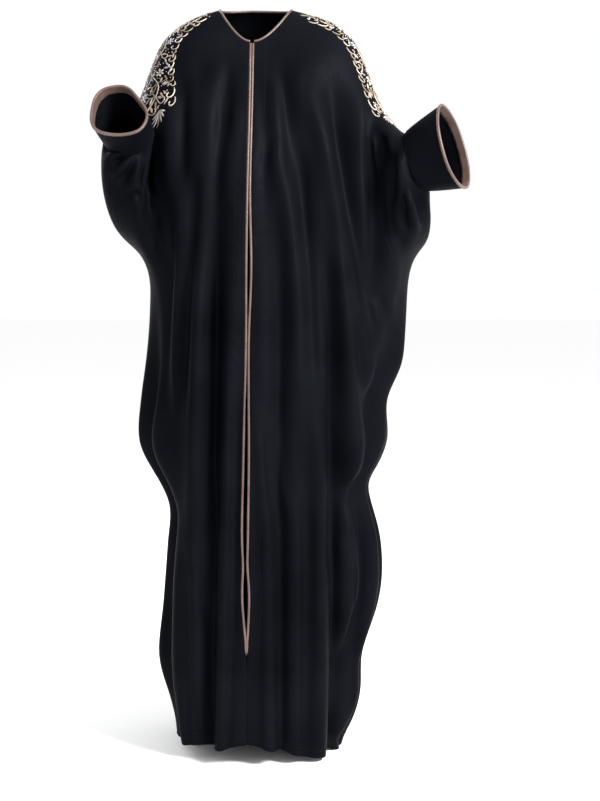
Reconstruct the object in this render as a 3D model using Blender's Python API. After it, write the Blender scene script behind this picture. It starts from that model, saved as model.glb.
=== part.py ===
"""A long open-front abaya cloak with batwing sleeves, hollow, in the form that it takes when it is worn.

Metres, +Z up, the front faces -Y. Left and right are the wearer's, so the right side lies towards -X.
The origin is where the shoulders carry it, level with the shoulder points and midway between them.
"""

import bpy
import numpy as np

WALL = 0.002
SEAM_GAP = 0.0005
RING_SAMPLES = 61
SIDE_RISE_POWER = 1.7
SUNK_REACH = 0.022
QUARTER_COLUMNS = 21
COLUMNS = 4 * QUARTER_COLUMNS
SIDE_COLUMN = {"left": QUARTER_COLUMNS, "right": 3 * QUARTER_COLUMNS}

ARMHOLE_HALF_COLUMNS = 6
ARMHOLE_TOP_ROW = 5
ARMHOLE_BOTTOM_ROW = 11
ARMHOLE_REACH = 0.11
ARMHOLE_PULL = 0.6
ARMHOLE_PASSES = 12
SLEEVE_ROWS = 7
CUFF_ROWS = 3
CUFF_FLARE_POWER = 0.8

PIPING_RADIUS = 0.0022
PIPING_SIDES = 6
PIPING_STARTS_BELOW = 0.08
NECK_COLUMN_STEP = 2
BINDING_THICKNESS = 0.0012
BINDING_OUTER_WIDTH = 0.004
BINDING_INNER_WIDTH = 0.010
BINDING_ROUNDED = 0.9

BLACK_CREPE = (0.012, 0.013, 0.018, 1.0)
CREPE_ROUGHNESS = 0.55
ROSE_SATIN = (0.62, 0.42, 0.38, 1.0)
SATIN_ROUGHNESS = 0.35

# One row for each ring round the body, from the neck to the hem. The sides are where the side line
# runs, front and back are the depths and heights at the centre lines, and square is the ring's
# superellipse power.
RING_COLUMNS = ("right_x", "right_z", "left_x", "left_z", "front_y", "front_z", "back_y", "back_z", "square")
RINGS = (
    (-0.058, 0.046, 0.082, 0.046, -0.070, -0.022, 0.056, 0.052, 2.0),
    (-0.096, 0.034, 0.120, 0.036, -0.088, -0.054, 0.078, 0.030, 2.0),
    (-0.134, 0.013, 0.162, 0.020, -0.104, -0.090, 0.096, -0.006, 2.1),
    (-0.168, -0.020, 0.198, -0.012, -0.120, -0.130, 0.107, -0.050, 2.2),
    (-0.190, -0.066, 0.222, -0.055, -0.135, -0.170, 0.114, -0.096, 2.2),
    (-0.204, -0.112, 0.241, -0.112, -0.146, -0.210, 0.118, -0.144, 2.3),
    (-0.208, -0.160, 0.252, -0.164, -0.154, -0.250, 0.120, -0.194, 2.3),
    (-0.208, -0.208, 0.262, -0.214, -0.159, -0.290, 0.121, -0.244, 2.3),
    (-0.206, -0.258, 0.274, -0.262, -0.161, -0.330, 0.122, -0.292, 2.3),
    (-0.202, -0.306, 0.288, -0.308, -0.162, -0.368, 0.124, -0.338, 2.3),
    (-0.196, -0.354, 0.300, -0.356, -0.163, -0.406, 0.126, -0.384, 2.3),
    (-0.190, -0.400, 0.307, -0.402, -0.164, -0.446, 0.128, -0.430, 2.3),
    (-0.183, -0.452, 0.299, -0.456, -0.164, -0.492, 0.131, -0.478, 2.3),
    (-0.186, -0.512, 0.295, -0.512, -0.164, -0.540, 0.135, -0.530, 2.3),
    (-0.190, -0.572, 0.290, -0.566, -0.164, -0.590, 0.139, -0.582, 2.3),
    (-0.194, -0.630, 0.281, -0.618, -0.164, -0.640, 0.143, -0.634, 2.3),
    (-0.200, -0.690, 0.252, -0.680, -0.164, -0.696, 0.147, -0.692, 2.3),
    (-0.208, -0.762, 0.260, -0.752, -0.165, -0.758, 0.150, -0.756, 2.3),
    (-0.180, -0.818, 0.239, -0.806, -0.165, -0.816, 0.152, -0.814, 2.3),
    (-0.149, -0.880, 0.217, -0.850, -0.166, -0.874, 0.154, -0.870, 2.3),
    (-0.155, -0.946, 0.240, -0.930, -0.167, -0.940, 0.156, -0.936, 2.3),
    (-0.160, -1.016, 0.247, -1.010, -0.168, -1.012, 0.158, -1.008, 2.3),
    (-0.166, -1.088, 0.236, -1.084, -0.169, -1.080, 0.160, -1.078, 2.3),
    (-0.175, -1.168, 0.206, -1.168, -0.170, -1.156, 0.162, -1.154, 2.3),
    (-0.158, -1.236, 0.206, -1.236, -0.171, -1.222, 0.163, -1.222, 2.3),
    (-0.144, -1.288, 0.192, -1.296, -0.172, -1.274, 0.164, -1.278, 2.3),
    (-0.138, -1.325, 0.168, -1.342, -0.172, -1.308, 0.164, -1.316, 2.3),
)
LAST_ROW = len(RINGS) - 1

# The two front edges from the neck down: height, the middle of the opening, the width between the two
# cloth edges, and how far they sink behind the front's own curve.
OPENING_COLUMNS = ("z", "middle_x", "width", "sunk")
OPENING = (
    (-0.022, 0.007, 0.0112, 0.000),
    (-0.150, 0.006, 0.0110, 0.000),
    (-0.300, 0.003, 0.0112, 0.000),
    (-0.440, 0.003, 0.0140, 0.000),
    (-0.570, 0.000, 0.0108, 0.000),
    (-0.760, -0.002, 0.0146, 0.001),
    (-0.945, -0.005, 0.0150, 0.002),
    (-0.988, -0.004, 0.0112, 0.003),
    (-1.020, -0.004, 0.0190, 0.004),
    (-1.110, -0.003, 0.0112, 0.008),
    (-1.296, -0.003, 0.0112, 0.014),
)

# Each cuff: the middle of its open rim, the way the rim faces, its half sizes towards the front and
# towards the top at the rim and at the seam, and the length of the band.
CUFFS = {
    "right": {
        "rim": (-0.217, -0.200, -0.158),
        "faces": (-0.10, -0.80, 0.58),
        "rim_half": (0.049, 0.056),
        "seam_half": (0.044, 0.048),
        "length": 0.062,
        "front_turn": -1,
        "hangs_wider": 0.22,
    },
    "left": {
        "rim": (0.370, -0.150, -0.217),
        "faces": (0.81, -0.50, 0.30),
        "rim_half": (0.046, 0.078),
        "seam_half": (0.042, 0.056),
        "length": 0.078,
        "front_turn": 1,
        "hangs_wider": 0.06,
    },
}

# The run of each sleeve at four places round it: the direction and strength with which the cloth leaves
# the body, how far its middle hangs away from a straight run, and how strongly it arrives at the cuff,
# less than nothing where the cloth is bunched up past the cuff's seam.
SLEEVE_COLUMNS = ("leave", "hang", "arrive")
SLEEVES = {
    "right": {
        "top": ((-0.020, -0.020, -0.060), (-0.012, -0.004, -0.016), 0.08),
        "front": ((-0.020, -0.060, -0.020), (-0.004, -0.014, -0.020), 0.05),
        "bottom": ((-0.060, -0.020, 0.030), (-0.044, -0.018, -0.020), 0.05),
        "back": ((-0.080, 0.040, -0.060), (-0.026, 0.010, -0.030), 0.12),
    },
    "left": {
        "top": ((0.034, -0.030, -0.050), (0.000, 0.000, -0.010), 0.03),
        "front": ((0.050, -0.070, -0.020), (0.006, -0.020, -0.024), 0.05),
        "bottom": ((0.070, -0.010, 0.020), (0.030, -0.012, -0.012), 0.12),
        "back": ((0.080, 0.040, -0.050), (0.020, 0.012, -0.022), 0.10),
    },
}

# The folds: which face they lie on, then three places along each, as (across, height), its half width
# and its depth. Across is X on the front and back, and Y on the two sides.
FOLD_COLUMNS = ("face", "start", "middle", "end", "half_width", "depth")
FOLDS = (
    ("front", (-0.140, -0.240), (-0.154, -0.565), (-0.168, -0.800), 0.015, 0.020),
    ("front", (-0.091, -0.180), (-0.113, -0.520), (-0.140, -0.860), 0.015, 0.024),
    ("front", (-0.065, -0.300), (-0.062, -0.740), (-0.080, -1.300), 0.016, 0.034),
    ("front", (-0.048, -0.090), (-0.050, -0.240), (-0.064, -0.440), 0.012, 0.013),
    ("front", (-0.118, -0.070), (-0.118, -0.170), (-0.125, -0.330), 0.012, 0.014),
    ("front", (-0.022, -0.580), (-0.024, -0.855), (-0.040, -1.310), 0.012, 0.012),
    ("front", (0.066, -0.240), (0.058, -0.800), (0.064, -1.320), 0.015, 0.017),
    ("front", (0.088, -0.110), (0.113, -0.475), (0.135, -0.840), 0.014, 0.020),
    ("front", (0.124, -0.200), (0.166, -0.800), (0.160, -1.310), 0.017, 0.034),
    ("front", (0.150, -0.070), (0.196, -0.340), (0.243, -0.680), 0.016, 0.032),
    ("front", (0.152, -0.290), (0.192, -0.511), (0.212, -0.800), 0.012, 0.012),
    ("front", (0.226, -0.250), (0.236, -0.400), (0.246, -0.540), 0.013, 0.018),
    ("back", (0.020, -0.140), (0.016, -0.620), (0.024, -1.300), 0.017, 0.020),
    ("back", (-0.052, -0.090), (-0.066, -0.560), (-0.070, -1.300), 0.016, 0.028),
    ("back", (-0.104, -0.160), (-0.124, -0.520), (-0.112, -1.100), 0.015, 0.024),
    ("back", (0.088, -0.100), (0.104, -0.600), (0.096, -1.300), 0.016, 0.030),
    ("back", (0.150, -0.120), (0.176, -0.520), (0.172, -1.180), 0.015, 0.024),
    ("back", (0.200, -0.220), (0.230, -0.480), (0.214, -0.900), 0.014, 0.018),
    ("right", (-0.060, -0.420), (-0.070, -0.800), (-0.076, -1.310), 0.018, 0.020),
    ("right", (0.004, -0.520), (-0.004, -0.860), (0.000, -1.310), 0.016, 0.016),
    ("right", (0.066, -0.400), (0.074, -0.800), (0.080, -1.310), 0.018, 0.022),
    ("left", (-0.070, -0.420), (-0.082, -0.820), (-0.086, -1.320), 0.018, 0.022),
    ("left", (0.010, -0.500), (0.016, -0.860), (0.012, -1.320), 0.016, 0.018),
    ("left", (0.074, -0.380), (0.086, -0.780), (0.090, -1.310), 0.018, 0.022),
)
FOLD_STEPS = 14
HEM_FOLDS_BELOW = -1.25
FOLD_RUN_IN = 0.25
FOLD_FACING_GAIN = 1.6
BROW = 0.28
BROW_AT = 2.1


def unit(vector):
    vector = np.asarray(vector, float)
    return vector / np.linalg.norm(vector, axis=-1, keepdims=True)


def opening_at(height):
    """The opening's middle, width and sunk depth at a height."""
    table = dict(zip(OPENING_COLUMNS, np.array(OPENING[::-1]).T))
    return [np.interp(height, table["z"], table[name]) for name in ("middle_x", "width", "sunk")]


def quarter_of_ring(ring, side, half):
    """Points along a quarter of a ring, from the centre line to the side line, evenly spaced."""
    middle, width, sunk = opening_at(ring["front_z"])
    side_x = ring[side + "_x"]
    start_x = middle
    if half == "front":
        start_x = middle + (width / 2 if side == "left" else -width / 2)
    angle = np.linspace(0, np.pi / 2, RING_SAMPLES)
    across = np.sin(angle) ** (2 / ring["square"])
    deep = np.cos(angle) ** (2 / ring["square"])
    x = start_x + (side_x - start_x) * across
    y = ring[half + "_y"] * deep
    if half == "front":
        y = y + sunk * np.exp(-(((x - start_x) / SUNK_REACH) ** 2))
    z = ring[half + "_z"] + (ring[side + "_z"] - ring[half + "_z"]) * across**SIDE_RISE_POWER
    points = np.stack([x, y, z], axis=1)
    steps = np.linalg.norm(np.diff(points, axis=0), axis=1)
    along = np.concatenate([[0], np.cumsum(steps)])
    wanted = np.linspace(0, along[-1], QUARTER_COLUMNS + 1)
    return np.stack([np.interp(wanted, along, points[:, axis]) for axis in range(3)], axis=1)


def ring_points(row):
    """One ring, from the left front edge round the left side, the back and the right side."""
    ring = dict(zip(RING_COLUMNS, RINGS[row]))
    left_front = quarter_of_ring(ring, "left", "front")
    left_back = quarter_of_ring(ring, "left", "back")[::-1]
    right_back = quarter_of_ring(ring, "right", "back")
    right_front = quarter_of_ring(ring, "right", "front")[::-1]
    return np.concatenate([left_front, left_back[1:], right_back[1:], right_front[1:]])


class Net:
    """The garment's middle surface: points, four-sided faces and the panel that each face is cut from."""

    def __init__(self):
        self.points = []
        self.faces = []
        self.panels = []

    def add_point(self, point):
        self.points.append(point)
        return len(self.points) - 1

    def add_face(self, corners, panel):
        self.faces.append(corners)
        self.panels.append(panel)


def in_armhole(row, column):
    """Whether a grid point lies inside, and not on the edge of, either armhole."""
    if not ARMHOLE_TOP_ROW < row < ARMHOLE_BOTTOM_ROW:
        return False
    return any(abs(column - side) < ARMHOLE_HALF_COLUMNS for side in SIDE_COLUMN.values())


def add_body(net):
    grid = {}
    for row in range(LAST_ROW + 1):
        for column, point in enumerate(ring_points(row)):
            if not in_armhole(row, column):
                grid[row, column] = net.add_point(point)
    for row in range(LAST_ROW):
        for column in range(COLUMNS):
            corners = ((row, column), (row + 1, column), (row + 1, column + 1), (row, column + 1))
            inside = ARMHOLE_TOP_ROW <= row < ARMHOLE_BOTTOM_ROW and any(
                side - ARMHOLE_HALF_COLUMNS <= column < side + ARMHOLE_HALF_COLUMNS
                for side in SIDE_COLUMN.values()
            )
            if inside:
                continue
            panel = "back_panel"
            if column < SIDE_COLUMN["left"]:
                panel = "left_front"
            elif column >= SIDE_COLUMN["right"]:
                panel = "right_front"
            net.add_face([grid[corner] for corner in corners], panel)
    return grid


def armhole_loop(side):
    """Grid places round an armhole: from the middle of its top, down its front edge and back up behind."""
    centre = SIDE_COLUMN[side]
    to_front = -1 if side == "left" else 1
    half = ARMHOLE_HALF_COLUMNS
    top, bottom = ARMHOLE_TOP_ROW, ARMHOLE_BOTTOM_ROW
    loop = [(top, centre + to_front * step) for step in range(half)]
    loop += [(row, centre + to_front * half) for row in range(top, bottom)]
    loop += [(bottom, centre + to_front * step) for step in range(half, -half, -1)]
    loop += [(row, centre - to_front * half) for row in range(bottom, top, -1)]
    loop += [(top, centre - to_front * step) for step in range(half, 0, -1)]
    return loop


def cuff_axes(cuff):
    """The cuff's own directions: along the forearm, towards its top and towards its front."""
    along = unit(cuff["faces"])
    top = unit(np.array([0, 0, 1]) - along[2] * along)
    front = cuff["front_turn"] * np.cross(along, top)
    return along, top, front


def cuff_ring(side, share, count):
    """A ring of the cuff band, from its seam at share 0 to its rim at share 1, starting at the top."""
    cuff = CUFFS[side]
    along, top, front = cuff_axes(cuff)
    centre = np.array(cuff["rim"]) - along * cuff["length"] * (1 - share)
    ease = share**CUFF_FLARE_POWER
    half = [(1 - ease) * seam + ease * rim for seam, rim in zip(cuff["seam_half"], cuff["rim_half"])]
    angle = 2 * np.pi * np.arange(count) / count
    towards_front = half[0] * np.sin(angle) * (1 - cuff["hangs_wider"] * np.cos(angle))
    towards_top = half[1] * np.cos(angle)
    return centre + np.outer(towards_front, front) + np.outer(towards_top, top)


def round_the_sleeve(side, count):
    """How each line along the sleeve leaves, hangs and arrives, blended between the four named places."""
    table = [SLEEVES[side][place] for place in ("top", "front", "bottom", "back")]
    blended = {column: [] for column in SLEEVE_COLUMNS}
    for place in np.arange(count) / count * len(table):
        low = int(place)
        share = place - low
        share = share * share * (3 - 2 * share)
        for column, first, second in zip(SLEEVE_COLUMNS, table[low], table[(low + 1) % len(table)]):
            blended[column].append((1 - share) * np.asarray(first) + share * np.asarray(second))
    return {column: np.array(values) for column, values in blended.items()}


def add_sleeve(net, grid, side):
    """Runs curved lines from the armhole to the cuff's seam."""
    loop = [grid[place] for place in armhole_loop(side)]
    count = len(loop)
    start = np.array([net.points[index] for index in loop])
    end = cuff_ring(side, 0, count)
    lines = round_the_sleeve(side, count)
    arriving = lines["arrive"][:, None] * unit(CUFFS[side]["faces"])
    rings = [loop]
    for row in range(1, SLEEVE_ROWS + 1):
        t = row / SLEEVE_ROWS
        points = (
            (2 * t**3 - 3 * t**2 + 1) * start
            + (t**3 - 2 * t**2 + t) * lines["leave"]
            + (3 * t**2 - 2 * t**3) * end
            + (t**3 - t**2) * arriving
            + 4 * t * (1 - t) * lines["hang"]
        )
        rings.append([net.add_point(point) for point in points])
    front_half = count // 2
    for upper, lower in zip(rings, rings[1:]):
        for step in range(count):
            after = (step + 1) % count
            corners = [upper[step], upper[after], lower[after], lower[step]]
            if side == "right":
                corners.reverse()
            panel = side + "_front" if step < front_half else "back_panel"
            net.add_face(corners, panel)
    return rings


def smooth_armholes(net, loops):
    """Rounds the turn from body to sleeve: points near each armhole move to their neighbours' mean."""
    points = np.array(net.points)
    edges = np.array([(a, b) for face in net.faces for a, b in edges_of(face)])
    rims = np.array([points[index] for loop in loops for index in loop])
    distance = np.min(np.linalg.norm(points[:, None] - rims[None], axis=2), axis=1)
    weight = ARMHOLE_PULL * np.clip(1 - distance / ARMHOLE_REACH, 0, 1)
    weight[sorted(free_points(net))] = 0
    for _ in range(ARMHOLE_PASSES):
        total = np.zeros_like(points)
        count = np.zeros(len(points))
        for a, b in ((0, 1), (1, 0)):
            np.add.at(total, edges[:, a], points[edges[:, b]])
            np.add.at(count, edges[:, a], 1)
        points += weight[:, None] * (total / count[:, None] - points)
    net.points = list(points)


def free_points(net):
    """The points on the edges that belong to one face only: neck, front edges, hem and cuff seams."""
    seen = {}
    for face in net.faces:
        for ends in edges_of(face):
            edge = tuple(sorted(ends))
            seen[edge] = seen.get(edge, 0) + 1
    return {index for edge, times in seen.items() if times == 1 for index in edge}


def point_normals(points, faces):
    """Unit normals, pointing away from the wearer, from the diagonals of the four-sided faces."""
    faces = np.asarray(faces)
    first = points[faces[:, 2]] - points[faces[:, 0]]
    second = points[faces[:, 3]] - points[faces[:, 1]]
    face_normals = np.cross(first, second)
    total = np.zeros_like(points)
    for corner in range(4):
        np.add.at(total, faces[:, corner], face_normals)
    return unit(total)


def fold_depths(points, normals):
    """How far the folds press each point in, by its distance from each fold's line on its own face."""
    facing = {
        "front": np.clip(-normals[:, 1] * FOLD_FACING_GAIN, 0, 1),
        "back": np.clip(normals[:, 1] * FOLD_FACING_GAIN, 0, 1),
        "left": np.clip(normals[:, 0] * FOLD_FACING_GAIN, 0, 1),
        "right": np.clip(-normals[:, 0] * FOLD_FACING_GAIN, 0, 1),
    }
    total = np.zeros(len(points))
    share = np.linspace(0, 1, FOLD_STEPS)
    for row in FOLDS:
        fold = dict(zip(FOLD_COLUMNS, row))
        start, middle, end = [np.array(fold[name]) for name in ("start", "middle", "end")]
        handle = 2 * middle - (start + end) / 2
        line = (
            np.outer((1 - share) ** 2, start)
            + np.outer(2 * share * (1 - share), handle)
            + np.outer(share**2, end)
        )
        place = points[:, [0, 2]] if fold["face"] in ("front", "back") else points[:, [1, 2]]
        best = np.full(len(points), np.inf)
        where = np.zeros(len(points))
        for index, (a, b) in enumerate(zip(line, line[1:])):
            run = b - a
            along = np.clip((place - a) @ run / (run @ run), 0, 1)
            apart = np.linalg.norm(place - a - along[:, None] * run, axis=1)
            nearer = apart < best
            best[nearer] = apart[nearer]
            where[nearer] = (index + along[nearer]) / (FOLD_STEPS - 1)
        fade = np.clip(where / FOLD_RUN_IN, 0, 1)
        if end[1] > HEM_FOLDS_BELOW:
            fade = fade * np.clip((1 - where) / FOLD_RUN_IN, 0, 1)
        fade = fade * fade * (3 - 2 * fade)
        away = best / fold["half_width"]
        section = np.exp(-(away**2)) - BROW * np.exp(-((away - BROW_AT) ** 2))
        total += facing[fold["face"]] * fold["depth"] * fade * section
    return total


def garment():
    """The whole middle surface with its folds, and the rings of both sleeves."""
    net = Net()
    grid = add_body(net)
    sleeves = {side: add_sleeve(net, grid, side) for side in ("left", "right")}
    smooth_armholes(net, [rings[0] for rings in sleeves.values()])
    points = np.array(net.points)
    normals = point_normals(points, net.faces)
    points = points - normals * fold_depths(points, normals)[:, None]
    normals = point_normals(points, net.faces)
    for side, rings in sleeves.items():
        radial = unit(points[rings[-1]] - points[rings[-1]].mean(axis=0))
        normals[rings[-2]] = unit(normals[rings[-2]] + radial)
        normals[rings[-1]] = radial
    return net, grid, sleeves, points, normals


def material(name, colour, roughness):
    made = bpy.data.materials.new(name)
    made.use_nodes = True
    shader = made.node_tree.nodes["Principled BSDF"]
    shader.inputs["Base Color"].default_value = colour
    shader.inputs["Roughness"].default_value = roughness
    return made


def add_object(name, points, faces, finish):
    mesh = bpy.data.meshes.new(name)
    mesh.from_pydata([tuple(point) for point in points], [], [tuple(face) for face in faces])
    mesh.validate()
    mesh.materials.append(finish)
    mesh.shade_smooth()
    made = bpy.data.objects.new(name, mesh)
    bpy.context.scene.collection.objects.link(made)
    return made


def edges_of(face):
    return list(zip(face, face[1:] + face[:1]))


def triangles_of(points, face):
    """A four-sided face in two, split along its shorter diagonal."""
    a, b, c, d = face
    if np.linalg.norm(points[a] - points[c]) < np.linalg.norm(points[b] - points[d]):
        return [[a, b, c], [a, c, d]]
    return [[b, c, d], [b, d, a]]


def closed_wall(points, normals, faces):
    """Two skins half a wall either side of a sheet, joined all round its free edges.

    Both skins are split along the same diagonals, so that a twisted face's wall doesn't cross itself, and
    so are the joining strips on both sides of a seam.
    """
    used = sorted({index for face in faces for index in face})
    place = {index: number for number, index in enumerate(used)}
    outer = points[used] + normals[used] * WALL / 2
    inner = points[used] - normals[used] * WALL / 2
    count = len(used)
    skin = [[place[index] for index in part] for face in faces for part in triangles_of(points, face)]
    made = skin + [[index + count for index in reversed(part)] for part in skin]
    directed = {(a, b) for face in skin for a, b in edges_of(face)}
    for a, b in sorted(directed):
        if (b, a) in directed:
            continue
        if a < b:
            made += [[b, a, b + count], [a, a + count, b + count]]
        else:
            made += [[b, a, a + count], [b, a + count, b + count]]
    return np.concatenate([outer, inner]), made


def add_panel(name, net, points, normals, finish):
    """Cuts one panel from the sheet, with its seam edges drawn back by half the seam gap."""
    faces = [face for face, panel in zip(net.faces, net.panels) if panel == name]
    rest = [face for face, panel in zip(net.faces, net.panels) if panel != name]
    others = {edge for face in rest for edge in edges_of(face)}
    inward = {}
    for face in faces:
        centre = points[face].mean(axis=0)
        for a, b in edges_of(face):
            if (b, a) in others:
                across = np.cross(normals[a] + normals[b], points[b] - points[a])
                across = unit(across) * np.sign(across @ (centre - points[a]))
                for index in (a, b):
                    inward.setdefault(index, []).append(across)
    cut = points.copy()
    for index, ways in inward.items():
        cut[index] += unit(np.sum(ways, axis=0)) * SEAM_GAP / 2
    return add_object(name, *closed_wall(cut, normals, faces), finish)


def ring_stack(rings):
    """One closed body from rings of equal count, where the last ring joins the first."""
    count = len(rings[0])
    faces = []
    for index in range(len(rings)):
        after = (index + 1) % len(rings)
        for step in range(count):
            beside = (step + 1) % count
            faces.append(
                [
                    index * count + step,
                    index * count + beside,
                    after * count + beside,
                    after * count + step,
                ]
            )
    return np.concatenate(rings), faces


def outward(points, faces):
    """The faces turned so that the body's volume is positive."""
    volume = 0.0
    for face in faces:
        for b, c in zip(face[1:], face[2:]):
            volume += points[face[0]] @ np.cross(points[b], points[c])
    if volume < 0:
        faces = [list(reversed(face)) for face in faces]
    return faces


def add_cuff(side, count, finish):
    """The cuff band: a flared tube, just clear of the sleeve's end."""
    rings = []
    shares = np.linspace(SEAM_GAP / CUFFS[side]["length"], 1, CUFF_ROWS + 1)
    for share in shares:
        rings.append(offset_ring(side, share, count, WALL / 2))
    for share in shares[::-1]:
        rings.append(offset_ring(side, share, count, -WALL / 2))
    points, faces = ring_stack(rings)
    return add_object(side + "_cuff", points, outward(points, faces), finish)


def offset_ring(side, share, count, offset):
    """A cuff ring moved out from the forearm's axis."""
    ring = cuff_ring(side, share, count)
    return ring + unit(ring - ring.mean(axis=0)) * offset


def add_cuff_binding(side, count, finish):
    """The folded satin strip over the rim: narrow outside, wide inside."""
    length = CUFFS[side]["length"]
    clear = WALL / 2 + SEAM_GAP
    far = clear + BINDING_THICKNESS
    rim = 1 + SEAM_GAP / length
    edge = rim + BINDING_THICKNESS / length
    outer_end = 1 - BINDING_OUTER_WIDTH / length
    inner_end = 1 - BINDING_INNER_WIDTH / length
    section = (
        (outer_end, clear),
        (outer_end, far),
        (edge, far * BINDING_ROUNDED),
        (edge, -far * BINDING_ROUNDED),
        (inner_end, -far),
        (inner_end, -clear),
        (rim, -clear),
        (rim, clear),
    )
    rings = [offset_ring(side, share, count, offset) for share, offset in section]
    points, faces = ring_stack(rings)
    return add_object(side + "_cuff_binding", points, outward(points, faces), finish)


def cord(path, towards):
    """A cord along a path, open at both ends, whose first side looks the way given at each point."""
    run = unit(np.gradient(path, axis=0))
    first = unit(towards - np.sum(towards * run, axis=1)[:, None] * run)
    second = np.cross(run, first)
    angle = 2 * np.pi * (np.arange(PIPING_SIDES) + 0.5) / PIPING_SIDES
    sections = (
        path[:, None]
        + PIPING_RADIUS * np.cos(angle)[None, :, None] * first[:, None]
        + PIPING_RADIUS * np.sin(angle)[None, :, None] * second[:, None]
    )
    points, faces = ring_stack(sections)
    round_the_end = len(path) - 1
    faces = faces[: round_the_end * PIPING_SIDES]
    faces.append(list(range(PIPING_SIDES))[::-1])
    faces.append([round_the_end * PIPING_SIDES + step for step in range(PIPING_SIDES)])
    return points, outward(points, faces)


def add_edge_piping(name, column, grid, points, finish):
    """The cord sewn along a front edge, from just under the neck binding to the hem."""
    edge = np.array([points[grid[row, column]] for row in range(LAST_ROW + 1)])
    inside = 1 if column == 0 else -1
    neighbours = np.array([points[grid[row, column + inside]] for row in range(LAST_ROW + 1)])
    run = unit(np.gradient(edge, axis=0))
    away = edge - neighbours
    away = unit(away - np.sum(away * run, axis=1)[:, None] * run)
    path = edge + away * (PIPING_RADIUS + SEAM_GAP)
    path[0] += (path[1] - path[0]) * PIPING_STARTS_BELOW
    backward = np.tile([0.0, 1.0, 0.0], (len(path), 1))
    return add_object(name, *cord(path, backward), finish)


def add_neck_binding(grid, points, finish):
    """The cord round the neck edge, open at the front, with its sides taken from the neck's middle."""
    columns = range(0, COLUMNS + 1, NECK_COLUMN_STEP)
    ring = np.array([points[grid[0, column]] for column in columns])
    below = np.array([points[grid[1, column]] for column in columns])
    path = ring + unit(ring - below) * (PIPING_RADIUS + SEAM_GAP)
    return add_object("neck_binding", *cord(path, path - path.mean(axis=0)), finish)


def main():
    for old in list(bpy.data.objects):
        bpy.data.objects.remove(old, do_unlink=True)
    crepe = material("black_crepe", BLACK_CREPE, CREPE_ROUGHNESS)
    satin = material("rose_satin", ROSE_SATIN, SATIN_ROUGHNESS)
    net, grid, sleeves, points, normals = garment()
    for name in ("back_panel", "left_front", "right_front"):
        add_panel(name, net, points, normals, crepe)
    for side, rings in sleeves.items():
        add_cuff(side, len(rings[0]), crepe)
        add_cuff_binding(side, len(rings[0]), satin)
    add_edge_piping("left_edge_piping", 0, grid, points, satin)
    add_edge_piping("right_edge_piping", COLUMNS, grid, points, satin)
    add_neck_binding(grid, points, satin)


main()
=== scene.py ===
import math

import bpy
import numpy as np
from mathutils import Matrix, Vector
from mathutils.bvhtree import BVHTree


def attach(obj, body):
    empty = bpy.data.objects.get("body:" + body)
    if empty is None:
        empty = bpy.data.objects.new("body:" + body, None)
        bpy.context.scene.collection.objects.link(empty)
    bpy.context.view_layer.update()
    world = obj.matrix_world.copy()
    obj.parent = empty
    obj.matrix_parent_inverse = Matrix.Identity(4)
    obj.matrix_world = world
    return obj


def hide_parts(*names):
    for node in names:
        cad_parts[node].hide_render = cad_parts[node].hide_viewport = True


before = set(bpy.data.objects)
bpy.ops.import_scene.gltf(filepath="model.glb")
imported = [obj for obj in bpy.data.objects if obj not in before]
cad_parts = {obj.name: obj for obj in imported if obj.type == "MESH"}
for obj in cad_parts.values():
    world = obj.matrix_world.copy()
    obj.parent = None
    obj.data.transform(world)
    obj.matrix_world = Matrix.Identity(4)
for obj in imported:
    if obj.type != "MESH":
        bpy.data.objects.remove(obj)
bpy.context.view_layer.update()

# Cloth panels: a back cut in one with both back sleeves, and two fronts, each cut in one with the front
# of its sleeve. They are smooth black satin-faced crepe, sewn together over the sleeves and down the
# sides, and hang from the shoulders in long soft folds. Metres, with the cloak's own right towards -X.
QUARTER_COLUMNS = 21
COLUMNS = 4 * QUARTER_COLUMNS
SIDE_COLUMN = {"left": QUARTER_COLUMNS, "right": 3 * QUARTER_COLUMNS}
ROWS_A_GIRTH = 2
GIRTH_SAMPLES = 61
SIDE_RISE_POWER = 1.7
SUNK_REACH = 0.022
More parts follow.
